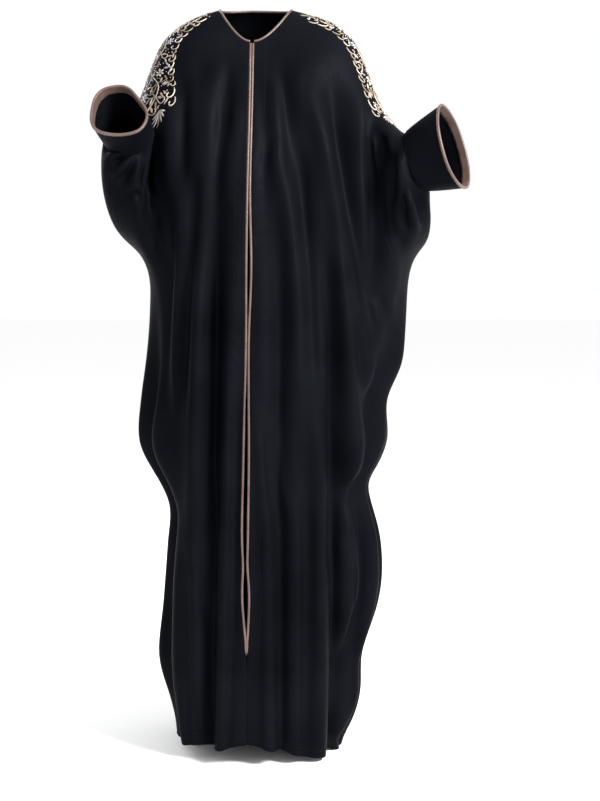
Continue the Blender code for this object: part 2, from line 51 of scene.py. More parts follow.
# One row for each girth line, from the neck to the hem: where it crosses the side seams, how deep and
# how high it lies at the centre lines, and how square it is.
GIRTH_COLUMNS = (
    "right_x", "right_z", "left_x", "left_z", "front_y", "front_z", "back_y", "back_z", "square"
)
GIRTHS = (
    (-0.058, 0.046, 0.082, 0.046, -0.070, -0.022, 0.056, 0.052, 2.0),
    (-0.096, 0.034, 0.120, 0.036, -0.088, -0.054, 0.078, 0.030, 2.0),
    (-0.134, 0.013, 0.162, 0.020, -0.104, -0.090, 0.096, -0.006, 2.1),
    (-0.168, -0.020, 0.198, -0.012, -0.120, -0.130, 0.107, -0.050, 2.2),
    (-0.190, -0.066, 0.222, -0.055, -0.135, -0.170, 0.114, -0.096, 2.2),
    (-0.204, -0.112, 0.241, -0.112, -0.146, -0.210, 0.118, -0.144, 2.3),
    (-0.208, -0.160, 0.252, -0.164, -0.154, -0.250, 0.120, -0.194, 2.3),
    (-0.208, -0.208, 0.262, -0.214, -0.159, -0.290, 0.121, -0.244, 2.3),
    (-0.206, -0.258, 0.274, -0.262, -0.161, -0.330, 0.122, -0.292, 2.3),
    (-0.202, -0.306, 0.288, -0.308, -0.162, -0.368, 0.124, -0.338, 2.3),
    (-0.196, -0.354, 0.300, -0.356, -0.163, -0.406, 0.126, -0.384, 2.3),
    (-0.190, -0.400, 0.307, -0.402, -0.164, -0.446, 0.128, -0.430, 2.3),
    (-0.183, -0.452, 0.299, -0.456, -0.164, -0.492, 0.131, -0.478, 2.3),
    (-0.186, -0.512, 0.295, -0.512, -0.164, -0.540, 0.135, -0.530, 2.3),
    (-0.190, -0.572, 0.290, -0.566, -0.164, -0.590, 0.139, -0.582, 2.3),
    (-0.194, -0.630, 0.281, -0.618, -0.164, -0.640, 0.143, -0.634, 2.3),
    (-0.200, -0.690, 0.252, -0.680, -0.164, -0.696, 0.147, -0.692, 2.3),
    (-0.208, -0.762, 0.260, -0.752, -0.165, -0.758, 0.150, -0.756, 2.3),
    (-0.180, -0.818, 0.239, -0.806, -0.165, -0.816, 0.152, -0.814, 2.3),
    (-0.149, -0.880, 0.217, -0.850, -0.166, -0.874, 0.154, -0.870, 2.3),
    (-0.155, -0.946, 0.240, -0.930, -0.167, -0.940, 0.156, -0.936, 2.3),
    (-0.160, -1.016, 0.247, -1.010, -0.168, -1.012, 0.158, -1.008, 2.3),
    (-0.166, -1.088, 0.236, -1.084, -0.169, -1.080, 0.160, -1.078, 2.3),
    (-0.175, -1.168, 0.206, -1.168, -0.170, -1.156, 0.162, -1.154, 2.3),
    (-0.158, -1.236, 0.206, -1.236, -0.171, -1.222, 0.163, -1.222, 2.3),
    (-0.144, -1.288, 0.192, -1.296, -0.172, -1.274, 0.164, -1.278, 2.3),
    (-0.138, -1.325, 0.168, -1.342, -0.172, -1.308, 0.164, -1.316, 2.3),
)
LAST_ROW = ROWS_A_GIRTH * (len(GIRTHS) - 1)
ARMHOLE_HALF_COLUMNS = 6
ARMHOLE_TOP_ROW = 5 * ROWS_A_GIRTH
ARMHOLE_BOTTOM_ROW = 11 * ROWS_A_GIRTH
ARMHOLE_REACH = 0.11
ARMHOLE_PULL = 0.6
ARMHOLE_PASSES = 20
SLEEVE_ROWS = 14
CUFF_FLARE_POWER = 0.8

# The front opening from the neck down: height, middle, width between the cloth edges, and how far they
# sink behind the front's own curve.
OPENING_COLUMNS = ("z", "middle_x", "width", "sunk")
OPENING = (
    (-0.022, 0.007, 0.0098, 0.000),
    (-0.150, 0.006, 0.0097, 0.000),
    (-0.300, 0.003, 0.0098, 0.000),
    (-0.440, 0.003, 0.0140, 0.000),
    (-0.570, 0.000, 0.0100, 0.000),
    (-0.760, -0.002, 0.0146, 0.001),
    (-0.945, -0.005, 0.0150, 0.002),
    (-0.988, -0.004, 0.0104, 0.003),
    (-1.020, -0.004, 0.0190, 0.004),
    (-1.110, -0.003, 0.0104, 0.008),
    (-1.160, -0.003, 0.0016, 0.010),
    (-1.296, -0.003, 0.0016, 0.014),
)
# Each cuff: its open rim's middle and the way it faces, the half sizes towards the front and the top at
# the rim and at the seam, and the band's length.
CUFFS = {
    "right": {
        "rim": (-0.217, -0.200, -0.158),
        "faces": (-0.10, -0.80, 0.58),
        "rim_half": (0.049, 0.056),
        "seam_half": (0.044, 0.048),
        "length": 0.062,
        "front_turn": -1,
        "hangs_wider": 0.22,
    },
    "left": {
        "rim": (0.370, -0.150, -0.217),
        "faces": (0.81, -0.50, 0.30),
        "rim_half": (0.046, 0.078),
        "seam_half": (0.042, 0.056),
        "length": 0.078,
        "front_turn": 1,
        "hangs_wider": 0.06,
    },
}
# Each sleeve at four places round it: how the cloth leaves the body, how its middle hangs away from a
# straight run, and how strongly it arrives at the cuff.
SLEEVE_COLUMNS = ("leave", "hang", "arrive")
SLEEVES = {
    "right": {
        "top": ((-0.020, -0.020, -0.060), (-0.012, -0.004, -0.016), 0.08),
        "front": ((-0.020, -0.060, -0.020), (-0.004, -0.014, -0.020), 0.05),
        "bottom": ((-0.060, -0.020, 0.030), (-0.044, -0.018, -0.020), 0.05),
        "back": ((-0.080, 0.040, -0.060), (-0.026, 0.010, -0.030), 0.12),
    },
    "left": {
        "top": ((0.034, -0.030, -0.050), (0.000, 0.000, -0.010), 0.03),
        "front": ((0.050, -0.070, -0.020), (0.006, -0.020, -0.024), 0.05),
        "bottom": ((0.070, -0.010, 0.020), (0.030, -0.012, -0.012), 0.12),
        "back": ((0.080, 0.040, -0.050), (0.020, 0.012, -0.022), 0.10),
    },
}
# Folds and creases: the face they lie on, three places along each as (across, height), half width and
# depth. Across is X on the front and back, and Y on the sides.
FOLD_COLUMNS = ("face", "start", "middle", "end", "half_width", "depth")
LONG_FOLDS = (
    ("front", (-0.142, -0.190), (-0.156, -0.565), (-0.168, -0.810), 0.016, 0.026),
    ("front", (-0.086, -0.130), (-0.112, -0.500), (-0.142, -0.880), 0.015, 0.024),
    ("front", (-0.060, -0.180), (-0.064, -0.700), (-0.080, -1.310), 0.016, 0.032),
    ("front", (-0.044, -0.060), (-0.052, -0.240), (-0.066, -0.480), 0.013, 0.011),
    ("front", (-0.116, -0.050), (-0.119, -0.190), (-0.126, -0.370), 0.013, 0.012),
    ("front", (-0.021, -0.520), (-0.024, -0.855), (-0.040, -1.320), 0.012, 0.012),
    ("front", (0.062, -0.140), (0.059, -0.780), (0.064, -1.330), 0.015, 0.017),
    ("front", (0.082, -0.060), (0.112, -0.455), (0.138, -0.880), 0.015, 0.022),
    ("front", (0.112, -0.120), (0.162, -0.740), (0.162, -1.320), 0.017, 0.034),
    ("front", (0.140, -0.040), (0.190, -0.310), (0.245, -0.700), 0.016, 0.032),
    ("front", (0.146, -0.250), (0.192, -0.511), (0.214, -0.830), 0.012, 0.012),
    ("front", (0.218, -0.150), (0.232, -0.360), (0.247, -0.560), 0.014, 0.024),
    ("back", (0.020, -0.070), (0.016, -0.620), (0.024, -1.310), 0.017, 0.020),
    ("back", (-0.050, -0.040), (-0.066, -0.560), (-0.070, -1.310), 0.016, 0.028),
    ("back", (-0.100, -0.100), (-0.124, -0.520), (-0.112, -1.140), 0.015, 0.024),
    ("back", (0.086, -0.050), (0.104, -0.600), (0.096, -1.310), 0.016, 0.030),
    ("back", (0.144, -0.070), (0.176, -0.520), (0.172, -1.220), 0.015, 0.024),
    ("back", (0.196, -0.170), (0.230, -0.480), (0.214, -0.940), 0.014, 0.018),
    ("right", (-0.058, -0.380), (-0.070, -0.800), (-0.076, -1.320), 0.018, 0.020),
    ("right", (0.005, -0.480), (-0.004, -0.860), (0.000, -1.320), 0.016, 0.016),
    ("right", (0.065, -0.360), (0.074, -0.800), (0.080, -1.320), 0.018, 0.022),
    ("left", (-0.068, -0.380), (-0.082, -0.820), (-0.086, -1.330), 0.018, 0.022),
    ("left", (0.009, -0.460), (0.016, -0.860), (0.012, -1.330), 0.016, 0.018),
    ("left", (0.073, -0.340), (0.086, -0.780), (0.090, -1.320), 0.018, 0.022),
)
# Smaller creases beside them. One with less than no depth is a raised ridge.
CREASES = (
    ("front", (0.032, -0.620), (0.040, -0.790), (0.058, -0.930), 0.009, 0.008),
    ("front", (-0.086, -0.860), (-0.088, -1.000), (-0.084, -1.140), 0.013, 0.006),
    ("front", (0.148, -0.820), (0.152, -0.920), (0.146, -1.020), 0.012, 0.006),
    ("front", (0.050, -0.170), (0.037, -0.222), (0.022, -0.280), 0.009, 0.003),
    ("front", (0.238, -0.470), (0.252, -0.515), (0.272, -0.570), 0.008, 0.006),
    ("front", (-0.030, -0.030), (-0.036, -0.130), (-0.036, -0.290), 0.011, 0.004),
    ("front", (0.030, -0.060), (0.032, -0.220), (0.038, -0.460), 0.011, 0.004),
    ("front", (0.058, -0.030), (0.072, -0.160), (0.092, -0.340), 0.011, 0.006),
    ("front", (-0.082, -0.030), (-0.088, -0.120), (-0.096, -0.240), 0.012, 0.004),
    ("front", (0.014, -0.770), (0.020, -1.020), (0.020, -1.320), 0.010, 0.004),
    ("front", (0.104, -0.700), (0.108, -1.000), (0.104, -1.320), 0.013, 0.008),
    ("front", (-0.112, -0.840), (-0.116, -1.080), (-0.112, -1.320), 0.012, 0.009),
    ("front", (0.196, -0.840), (0.200, -1.060), (0.190, -1.330), 0.013, 0.010),
    ("front", (-0.150, -0.860), (-0.152, -1.080), (-0.150, -1.320), 0.011, 0.008),
    ("front", (0.086, -0.480), (0.090, -0.720), (0.084, -0.980), 0.013, 0.004),
    ("front", (-0.087, -0.360), (-0.088, -0.560), (-0.094, -0.780), 0.014, -0.004),
    ("front", (0.118, -0.300), (0.136, -0.560), (0.140, -0.860), 0.012, -0.004),
    # Round the right cuff: folds drawn up to the sleeve's crook, with the hanging part turned under.
    ("front", (-0.262, -0.219), (-0.231, -0.216), (-0.188, -0.204), 0.008, 0.007),
    ("front", (-0.256, -0.243), (-0.220, -0.227), (-0.180, -0.208), 0.006, -0.006),
    ("front", (-0.246, -0.253), (-0.218, -0.239), (-0.186, -0.222), 0.005, 0.006),
    ("front", (-0.250, -0.268), (-0.222, -0.259), (-0.192, -0.234), 0.009, -0.006),
    ("front", (-0.178, -0.214), (-0.205, -0.254), (-0.236, -0.300), 0.007, 0.009),
    ("front", (-0.178, -0.208), (-0.184, -0.262), (-0.180, -0.330), 0.007, 0.008),
    ("front", (-0.184, -0.226), (-0.196, -0.256), (-0.208, -0.296), 0.008, -0.004),
    ("front", (-0.236, -0.326), (-0.199, -0.303), (-0.176, -0.350), 0.006, 0.006),
    ("front", (-0.182, -0.330), (-0.165, -0.377), (-0.160, -0.445), 0.008, 0.006),
    # Round the left cuff: a pinched point at the sleeve's crook, and runs that fall from the band's seam.
    ("front", (0.226, -0.170), (0.234, -0.226), (0.250, -0.290), 0.006, -0.003),
    ("front", (0.240, -0.180), (0.246, -0.222), (0.250, -0.262), 0.006, 0.006),
    ("front", (0.266, -0.200), (0.258, -0.270), (0.268, -0.350), 0.008, 0.013),
    ("front", (0.279, -0.262), (0.283, -0.334), (0.300, -0.380), 0.007, 0.009),
    ("front", (0.294, -0.272), (0.314, -0.330), (0.332, -0.380), 0.008, 0.007),
    ("front", (0.284, -0.280), (0.298, -0.340), (0.314, -0.390), 0.007, -0.003),
    ("front", (0.296, -0.254), (0.324, -0.280), (0.360, -0.292), 0.007, 0.008),
    ("back", (-0.018, -0.240), (-0.022, -0.620), (-0.024, -1.000), 0.011, 0.008),
    ("back", (0.056, -0.360), (0.060, -0.760), (0.056, -1.320), 0.012, 0.010),
    ("back", (-0.148, -0.500), (-0.152, -0.820), (-0.140, -1.320), 0.013, 0.012),
    ("back", (0.136, -0.580), (0.140, -0.900), (0.134, -1.320), 0.012, 0.012),
    ("back", (-0.020, -0.020), (-0.026, -0.120), (-0.032, -0.300), 0.011, 0.005),
    ("back", (0.048, -0.020), (0.056, -0.140), (0.066, -0.340), 0.011, 0.006),
    ("back", (-0.194, -0.190), (-0.206, -0.290), (-0.204, -0.440), 0.011, 0.012),
    ("back", (0.260, -0.200), (0.276, -0.310), (0.278, -0.460), 0.011, 0.012),
    ("back", (-0.216, -0.250), (-0.208, -0.300), (-0.186, -0.350), 0.008, 0.008),
    ("back", (0.300, -0.260), (0.284, -0.310), (0.262, -0.360), 0.008, 0.008),
    ("right", (-0.030, -0.640), (-0.034, -0.960), (-0.038, -1.320), 0.012, 0.010),
    ("right", (0.034, -0.600), (0.036, -0.960), (0.040, -1.320), 0.012, 0.008),
    ("left", (-0.034, -0.640), (-0.036, -0.980), (-0.040, -1.330), 0.012, 0.010),
    ("left", (0.044, -0.560), (0.050, -0.940), (0.052, -1.330), 0.012, 0.008),
)
FOLD_STEPS = 14
HEM_FOLDS_BELOW = -1.25
FOLD_RUN_IN = 0.38
FOLD_END_WIDENING = 0.8
FOLD_FACING_GAIN = 1.6
BROW = 0.28
BROW_AT = 2.1
SHORTEST = 1e-12
FINER_LEVELS = 2


def unit(vector):
    vector = np.asarray(vector, float)
    return vector / np.maximum(np.linalg.norm(vector, axis=-1, keepdims=True), SHORTEST)


def along_table(table, places):
    """A table's values at fractional rows, on a smooth curve through its rows."""
    table = np.asarray(table, float)
    padded = np.vstack([2 * table[0] - table[1], table, 2 * table[-1] - table[-2]])
    low = np.clip(np.floor(places).astype(int), 0, len(table) - 2)
    t = (places - low)[:, None]
    before, here, after, beyond = [padded[low + shift] for shift in range(4)]
    slope = (after - before) / 2
    bend = before - 2.5 * here + 2 * after - beyond / 2
    twist = 1.5 * (here - after) + (beyond - before) / 2
    return here + t * slope + t**2 * bend + t**3 * twist


def opening_at(heights):
    """The front opening's middle, width and sunk depth at some heights."""
    rising = np.array(OPENING[::-1])
    places = np.interp(heights, rising[:, 0], np.arange(len(OPENING)))
    smooth = along_table(rising, np.atleast_1d(places))
    return {name: smooth[:, number] for number, name in enumerate(OPENING_COLUMNS)}


def quarter_of_girth(girth, side, half):
    """Evenly spaced points along a quarter of a girth line, from the centre line to the side seam."""
    opening = {name: value[0] for name, value in opening_at([girth["front_z"]]).items()}
    side_x = girth[side + "_x"]
    start_x = opening["middle_x"]
    if half == "front":
        start_x += opening["width"] / 2 if side == "left" else -opening["width"] / 2
    angle = np.linspace(0, np.pi / 2, GIRTH_SAMPLES)
    across = np.sin(angle) ** (2 / girth["square"])
    deep = np.cos(angle) ** (2 / girth["square"])
    x = start_x + (side_x - start_x) * across
    y = girth[half + "_y"] * deep
    if half == "front":
        y = y + opening["sunk"] * np.exp(-(((x - start_x) / SUNK_REACH) ** 2))
    z = girth[half + "_z"] + (girth[side + "_z"] - girth[half + "_z"]) * across**SIDE_RISE_POWER
    line = np.stack([x, y, z], axis=1)
    return evenly_spaced(line, QUARTER_COLUMNS + 1)


def evenly_spaced(line, count):
    """A line's points taken again at even distances."""
    steps = np.linalg.norm(np.diff(line, axis=0), axis=1)
    along = np.concatenate([[0], np.cumsum(steps)])
    wanted = np.linspace(0, along[-1], count)
    return np.stack([np.interp(wanted, along, line[:, axis]) for axis in range(3)], axis=1)


def girth_points(values):
    """One girth line, from the left front edge round the left side, the back and the right side."""
    girth = dict(zip(GIRTH_COLUMNS, values))
    left_front = quarter_of_girth(girth, "left", "front")
    left_back = quarter_of_girth(girth, "left", "back")[::-1]
    right_back = quarter_of_girth(girth, "right", "back")
    right_front = quarter_of_girth(girth, "right", "front")[::-1]
    return np.concatenate([left_front, left_back[1:], right_back[1:], right_front[1:]])


PANELS = ("back_panel", "left_front", "right_front")
MEAN_GIRTH = 1.32
LENGTH = 1.35
SLEEVE_GIRTH = 0.46
SLEEVE_LENGTH = 0.24
SLEEVE_UV_START = {"left": 2.0, "right": 3.0}


class Net:
    """The coarse net of the whole garment: points, four-sided faces, their panels and their weave grid."""

    def __init__(self):
        self.points = []
        self.faces = []
        self.panels = []
        self.grain = []

    def add_point(self, point):
        self.points.append(point)
        return len(self.points) - 1

    def add_face(self, corners, panel, grain):
        self.faces.append(corners)
        self.panels.append(PANELS.index(panel))
        self.grain.append(grain)


def body_net(net):
    """Adds the body, with a hole for each sleeve, and returns its points by row and column."""
    places = np.arange(LAST_ROW + 1) / ROWS_A_GIRTH
    girths = along_table(GIRTHS, places)
    grid = {}
    for row, values in enumerate(girths):
        for column, point in enumerate(girth_points(values)):
            inside = ARMHOLE_TOP_ROW < row < ARMHOLE_BOTTOM_ROW and any(
                abs(column - side) < ARMHOLE_HALF_COLUMNS for side in SIDE_COLUMN.values()
            )
            if not inside:
                grid[row, column] = net.add_point(point)
    for row in range(LAST_ROW):
        for column in range(COLUMNS):
            in_hole = ARMHOLE_TOP_ROW <= row < ARMHOLE_BOTTOM_ROW and any(
                side - ARMHOLE_HALF_COLUMNS <= column < side + ARMHOLE_HALF_COLUMNS
                for side in SIDE_COLUMN.values()
            )
            if in_hole:
                continue
            panel = "back_panel"
            if column < SIDE_COLUMN["left"]:
                panel = "left_front"
            elif column >= SIDE_COLUMN["right"]:
                panel = "right_front"
            corners = ((row, column), (row + 1, column), (row + 1, column + 1), (row, column + 1))
            grain = [(c * MEAN_GIRTH / COLUMNS, r * LENGTH / LAST_ROW) for r, c in corners]
            net.add_face([grid[corner] for corner in corners], panel, grain)
    return grid


def armhole_loop(side):
    """Grid places round an armhole, from its top by the front to its bottom and back up behind, and the
    share of a turn at each."""
    centre = SIDE_COLUMN[side]
    to_front = -1 if side == "left" else 1
    half = ARMHOLE_HALF_COLUMNS
    top, bottom = ARMHOLE_TOP_ROW, ARMHOLE_BOTTOM_ROW
    loop = [(top, centre + to_front * step) for step in range(half)]
    loop += [(row, centre + to_front * half) for row in range(top, bottom)]
    loop += [(bottom, centre + to_front * step) for step in range(half, -half, -1)]
    loop += [(row, centre - to_front * half) for row in range(bottom, top, -1)]
    loop += [(top, centre - to_front * step) for step in range(half, 0, -1)]
    steps = [1 if a[0] == b[0] else 1 / ROWS_A_GIRTH for a, b in zip(loop, loop[1:] + loop[:1])]
    shares = np.concatenate([[0], np.cumsum(steps)]) / sum(steps)
    return loop, shares[:-1]


def cuff_axes(cuff):
    """The cuff's own directions: along the sleeve's end, towards its top and towards its front."""
    along = unit(cuff["faces"])
    top = unit(np.array([0, 0, 1]) - along[2] * along)
    return along, top, cuff["front_turn"] * np.cross(along, top)


def cuff_ring(side, share, shares):
    """A ring of the cuff band, from its seam at share 0 to its rim at share 1, starting at the top."""
    cuff = CUFFS[side]
    along, top, front = cuff_axes(cuff)
    centre = np.array(cuff["rim"]) - along * cuff["length"] * (1 - share)
    flare = share**CUFF_FLARE_POWER
    half = [(1 - flare) * seam + flare * rim for seam, rim in zip(cuff["seam_half"], cuff["rim_half"])]
    angle = 2 * np.pi * np.asarray(shares)
    towards_front = half[0] * np.sin(angle) * (1 - cuff["hangs_wider"] * np.cos(angle))
    return centre + np.outer(towards_front, front) + np.outer(half[1] * np.cos(angle), top)


def round_the_sleeve(side, shares):
    """How each line along the sleeve leaves, hangs and arrives, blended between the four named places."""
    table = [SLEEVES[side][place] for place in ("top", "front", "bottom", "back")]
    blended = {column: [] for column in SLEEVE_COLUMNS}
    for place in np.asarray(shares) * len(table):
        low = int(place)
        share = place - low
        share = share * share * (3 - 2 * share)
        for column, first, second in zip(SLEEVE_COLUMNS, table[low], table[(low + 1) % len(table)]):
            blended[column].append((1 - share) * np.asarray(first) + share * np.asarray(second))
    return {column: np.array(values) for column, values in blended.items()}


def sleeve_net(net, grid, side):
    """Adds a sleeve, on curved lines from its armhole to its cuff's seam."""
    places, shares = armhole_loop(side)
    loop = [grid[place] for place in places]
    count = len(loop)
    start = np.array([net.points[index] for index in loop])
    end = cuff_ring(side, 0, shares)
    lines = round_the_sleeve(side, shares)
    arriving = lines["arrive"][:, None] * unit(CUFFS[side]["faces"])
    rings = [loop]
    for row in range(1, SLEEVE_ROWS + 1):
        t = row / SLEEVE_ROWS
        points = (
            (2 * t**3 - 3 * t**2 + 1) * start
            + (t**3 - 2 * t**2 + t) * lines["leave"]
            + (3 * t**2 - 2 * t**3) * end
            + (t**3 - t**2) * arriving
            + 4 * t * (1 - t) * lines["hang"]
        )
        rings.append([net.add_point(point) for point in points])
    for row, (upper, lower) in enumerate(zip(rings, rings[1:])):
        for step in range(count):
            after = (step + 1) % count
            corners = [upper[step], upper[after], lower[after], lower[step]]
            turn, next_turn = shares[step], (shares[step + 1] if after else 1.0)
            places = ((turn, row), (next_turn, row), (next_turn, row + 1), (turn, row + 1))
            grain = [
                (SLEEVE_UV_START[side] + round_it * SLEEVE_GIRTH, level * SLEEVE_LENGTH / SLEEVE_ROWS)
                for round_it, level in places
            ]
            if side == "right":
                corners.reverse()
                grain.reverse()
            net.add_face(corners, side + "_front" if shares[step] < 0.5 else "back_panel", grain)
    return rings


def edges_of(face):
    return list(zip(face, face[1:] + face[:1]))


def smooth_armholes(net, loops):
    """Rounds the turn from body to sleeve: points near each armhole move to their neighbours' mean."""
    points = np.array(net.points)
    edges = np.array([edge for face in net.faces for edge in edges_of(face)])
    rims = points[[index for loop in loops for index in loop]]
    distance = np.min(np.linalg.norm(points[:, None] - rims[None], axis=2), axis=1)
    weight = ARMHOLE_PULL * np.clip(1 - distance / ARMHOLE_REACH, 0, 1)
    seen = {}
    for a, b in edges:
        edge = (min(a, b), max(a, b))
        seen[edge] = seen.get(edge, 0) + 1
    weight[sorted({index for edge, times in seen.items() if times == 1 for index in edge})] = 0
    for _ in range(ARMHOLE_PASSES):
        total = np.zeros_like(points)
        count = np.zeros(len(points))
        for a, b in ((0, 1), (1, 0)):
            np.add.at(total, edges[:, a], points[edges[:, b]])
            np.add.at(count, edges[:, a], 1)
        points += weight[:, None] * (total / count[:, None] - points)
    return points


def finer_cloth(net, points):
    """The net made four times finer each way, as arrays: points, faces, panels and grain."""
    mesh = bpy.data.meshes.new("net")
    mesh.from_pydata(points.tolist(), [], net.faces)
    mesh.polygons.foreach_set("material_index", net.panels)
    grain = mesh.uv_layers.new(name="grain")
    grain.data.foreach_set("uv", np.array(net.grain, float).ravel())
    holder = bpy.data.objects.new("net", mesh)
    bpy.context.scene.collection.objects.link(holder)
    finer = holder.modifiers.new("finer", "SUBSURF")
    finer.levels = FINER_LEVELS
    finer.render_levels = FINER_LEVELS
    finer.uv_smooth = "NONE"
    finer.boundary_smooth = "PRESERVE_CORNERS"
    made = holder.evaluated_get(bpy.context.evaluated_depsgraph_get()).to_mesh()
    fine_points = np.empty(len(made.vertices) * 3)
    made.vertices.foreach_get("co", fine_points)
    corners = np.empty(len(made.loops), int)
    made.loops.foreach_get("vertex_index", corners)
    panels = np.empty(len(made.polygons), int)
    made.polygons.foreach_get("material_index", panels)
    grain = np.empty(len(made.loops) * 2)
    made.uv_layers[0].data.foreach_get("uv", grain)
    bpy.data.objects.remove(holder, do_unlink=True)
    bpy.data.meshes.remove(mesh)
    return fine_points.reshape(-1, 3), corners.reshape(-1, 4), panels, grain.reshape(-1, 4, 2)


def point_normals(points, faces):
    """Unit normals, pointing out of the cloak, from the diagonals of the four-sided faces."""
    across = np.cross(points[faces[:, 2]] - points[faces[:, 0]], points[faces[:, 3]] - points[faces[:, 1]])
    total = np.zeros_like(points)
    for corner in range(4):
        np.add.at(total, faces[:, corner], across)
    return unit(total)


def ease(value):
    """A smooth step from 0 to 1."""
    value = np.clip(value, 0, 1)
    return value * value * (3 - 2 * value)


def fold_depths(points, normals, folds):
    """How far folds press each point in, by its distance from each fold's line on its own face."""
    facing = {
        "front": np.clip(-normals[:, 1] * FOLD_FACING_GAIN, 0, 1),
        "back": np.clip(normals[:, 1] * FOLD_FACING_GAIN, 0, 1),
        "left": np.clip(normals[:, 0] * FOLD_FACING_GAIN, 0, 1),
        "right": np.clip(-normals[:, 0] * FOLD_FACING_GAIN, 0, 1),
    }
    total = np.zeros(len(points))
    share = np.linspace(0, 1, FOLD_STEPS)[:, None]
    for row in folds:
        fold = dict(zip(FOLD_COLUMNS, row))
        start, middle, end = [np.array(fold[name]) for name in ("start", "middle", "end")]
        handle = 2 * middle - (start + end) / 2
        line = (1 - share) ** 2 * start + 2 * share * (1 - share) * handle + share**2 * end
        place = points[:, [0, 2]] if fold["face"] in ("front", "back") else points[:, [1, 2]]
        best = np.full(len(points), np.inf)
        where = np.zeros(len(points))
        for index, (a, b) in enumerate(zip(line, line[1:])):
            run = b - a
            along = np.clip((place - a) @ run / (run @ run), 0, 1)
            apart = np.linalg.norm(place - a - along[:, None] * run, axis=1)
            nearer = apart < best
            best[nearer] = apart[nearer]
            where[nearer] = (index + along[nearer]) / (FOLD_STEPS - 1)
        fade = np.clip(where / FOLD_RUN_IN, 0, 1)
        if end[1] > HEM_FOLDS_BELOW:
            fade = fade * np.clip((1 - where) / FOLD_RUN_IN, 0, 1)
        fade = ease(fade)
        away = best / (fold["half_width"] * (1 + FOLD_END_WIDENING * (1 - fade)))
        section = np.exp(-(away**2)) - BROW * np.exp(-((away - BROW_AT) ** 2))
        total += facing[fold["face"]] * fold["depth"] * fade * section
    return total


net = Net()
grid = body_net(net)
sleeve_rings = {side: sleeve_net(net, grid, side) for side in ("left", "right")}
net_points = smooth_armholes(net, [rings[0] for rings in sleeve_rings.values()])
base_points, cloth_faces, cloth_panels, cloth_grain = finer_cloth(net, net_points)
base_normals = point_normals(base_points, cloth_faces)
cloth_points = base_points - base_normals * fold_depths(base_points, base_normals, LONG_FOLDS)[:, None]
crease_normals = point_normals(cloth_points, cloth_faces)
cloth_points = cloth_points - crease_normals * fold_depths(cloth_points, base_normals, CREASES)[:, None]
# Where the front's hem dips between folds: middle across, half width and fall.
HEM_DIPS = (
    (-0.052, 0.024, 0.007),
    (0.044, 0.024, 0.006),
    (0.100, 0.036, 0.012),
    (0.168, 0.026, 0.008),
)
HEM_DIP_FROM = -1.12
HEM_DIP_RUN = 0.18
HEM_DIP_FRONT = 0.08
for middle, half_width, fall in HEM_DIPS:
    low_down = ease((HEM_DIP_FROM - cloth_points[:, 2]) / HEM_DIP_RUN)
    reach = low_down * np.clip(-cloth_points[:, 1] / HEM_DIP_FRONT, 0, 1)
    cloth_points[:, 2] -= fall * reach * np.exp(-(((cloth_points[:, 0] - middle) / half_width) ** 2))
cloth_normals = point_normals(cloth_points, cloth_faces)

CLOTH_THICKNESS = 0.0011
HEM_DEPTH = 0.024
HEM_THICKNESS = 0.0024
PLACKET_WIDTH = 0.020
PLACKET_THICKNESS = 0.0019
SEAM_DIP = 0.0004
SEAM_GAP = 0.0003
# Puckers beside the front edges, where the placket's stitching draws the cloth: which front, the stretch
# down it, their spacing and depth, and how steeply they slant away from the edge.
PUCKER_COLUMNS = ("side", "top", "bottom", "spacing", "depth", "slant")
PUCKERS = (
    ("left", -0.480, -0.600, 0.021, 0.0022, 0.9),
    ("left", -0.600, -0.690, 0.034, 0.0030, 0.9),
    ("left", -0.250, -0.420, 0.031, 0.0012, 0.7),
    ("left", -0.760, -1.200, 0.037, 0.0010, 0.6),
    ("right", -0.540, -0.760, 0.034, 0.0016, 1.2),
    ("right", -0.740, -0.990, 0.043, 0.0013, 1.0),
    ("right", -0.240, -0.480, 0.034, 0.0012, 0.8),
    ("right", -1.000, -1.240, 0.040, 0.0010, 0.8),
)
PUCKER_AT = 0.017
PUCKER_REACH = 0.012
PUCKER_FADE = 4
# How their spacing wanders, as waves of (share, rate, start), and how their depth varies from one to the
# next: least share, wave's share, rate and start.
PUCKER_WANDERS = ((0.45, 0.83, 1.0), (0.30, 2.1, 0.0))
PUCKER_VARIES = (0.65, 0.35, 1.37, 0.6)


def split_rows(points, faces, grain):
    """Every face cut in two across its height, so that a panel is twice as fine down its length."""
    rises = np.abs(grain[:, 1, 1] - grain[:, 0, 1]) > np.abs(grain[:, 1, 0] - grain[:, 0, 0])
    shift = np.where(rises, 0, 1)[:, None]
    order = (np.arange(4)[None] + shift) % 4
    faces = np.take_along_axis(faces, order, axis=1)
    grain = np.take_along_axis(grain, order[..., None], axis=1)
    sides = np.sort(np.concatenate([faces[:, [0, 1]], faces[:, [2, 3]]]), axis=1)
    unique, back = np.unique(sides, axis=0, return_inverse=True)
    middles = len(points) + back.reshape(2, -1)
    points = np.concatenate([points, points[unique].mean(axis=1)])
    first, second = middles
    upper = np.stack([faces[:, 0], first, second, faces[:, 3]], axis=1)
    lower = np.stack([first, faces[:, 1], faces[:, 2], second], axis=1)
    first_grain = grain[:, [0, 1]].mean(axis=1)
    second_grain = grain[:, [2, 3]].mean(axis=1)
    upper_grain = np.stack([grain[:, 0], first_grain, second_grain, grain[:, 3]], axis=1)
    lower_grain = np.stack([first_grain, grain[:, 1], grain[:, 2], second_grain], axis=1)
    return points, np.concatenate([upper, lower]), np.concatenate([upper_grain, lower_grain])


def from_front_edge(points):
    """How far each point lies from the nearer front edge, across the front."""
    opening = opening_at(points[:, 2])
    return np.abs(points[:, 0] - opening["middle_x"]) - opening["width"] / 2


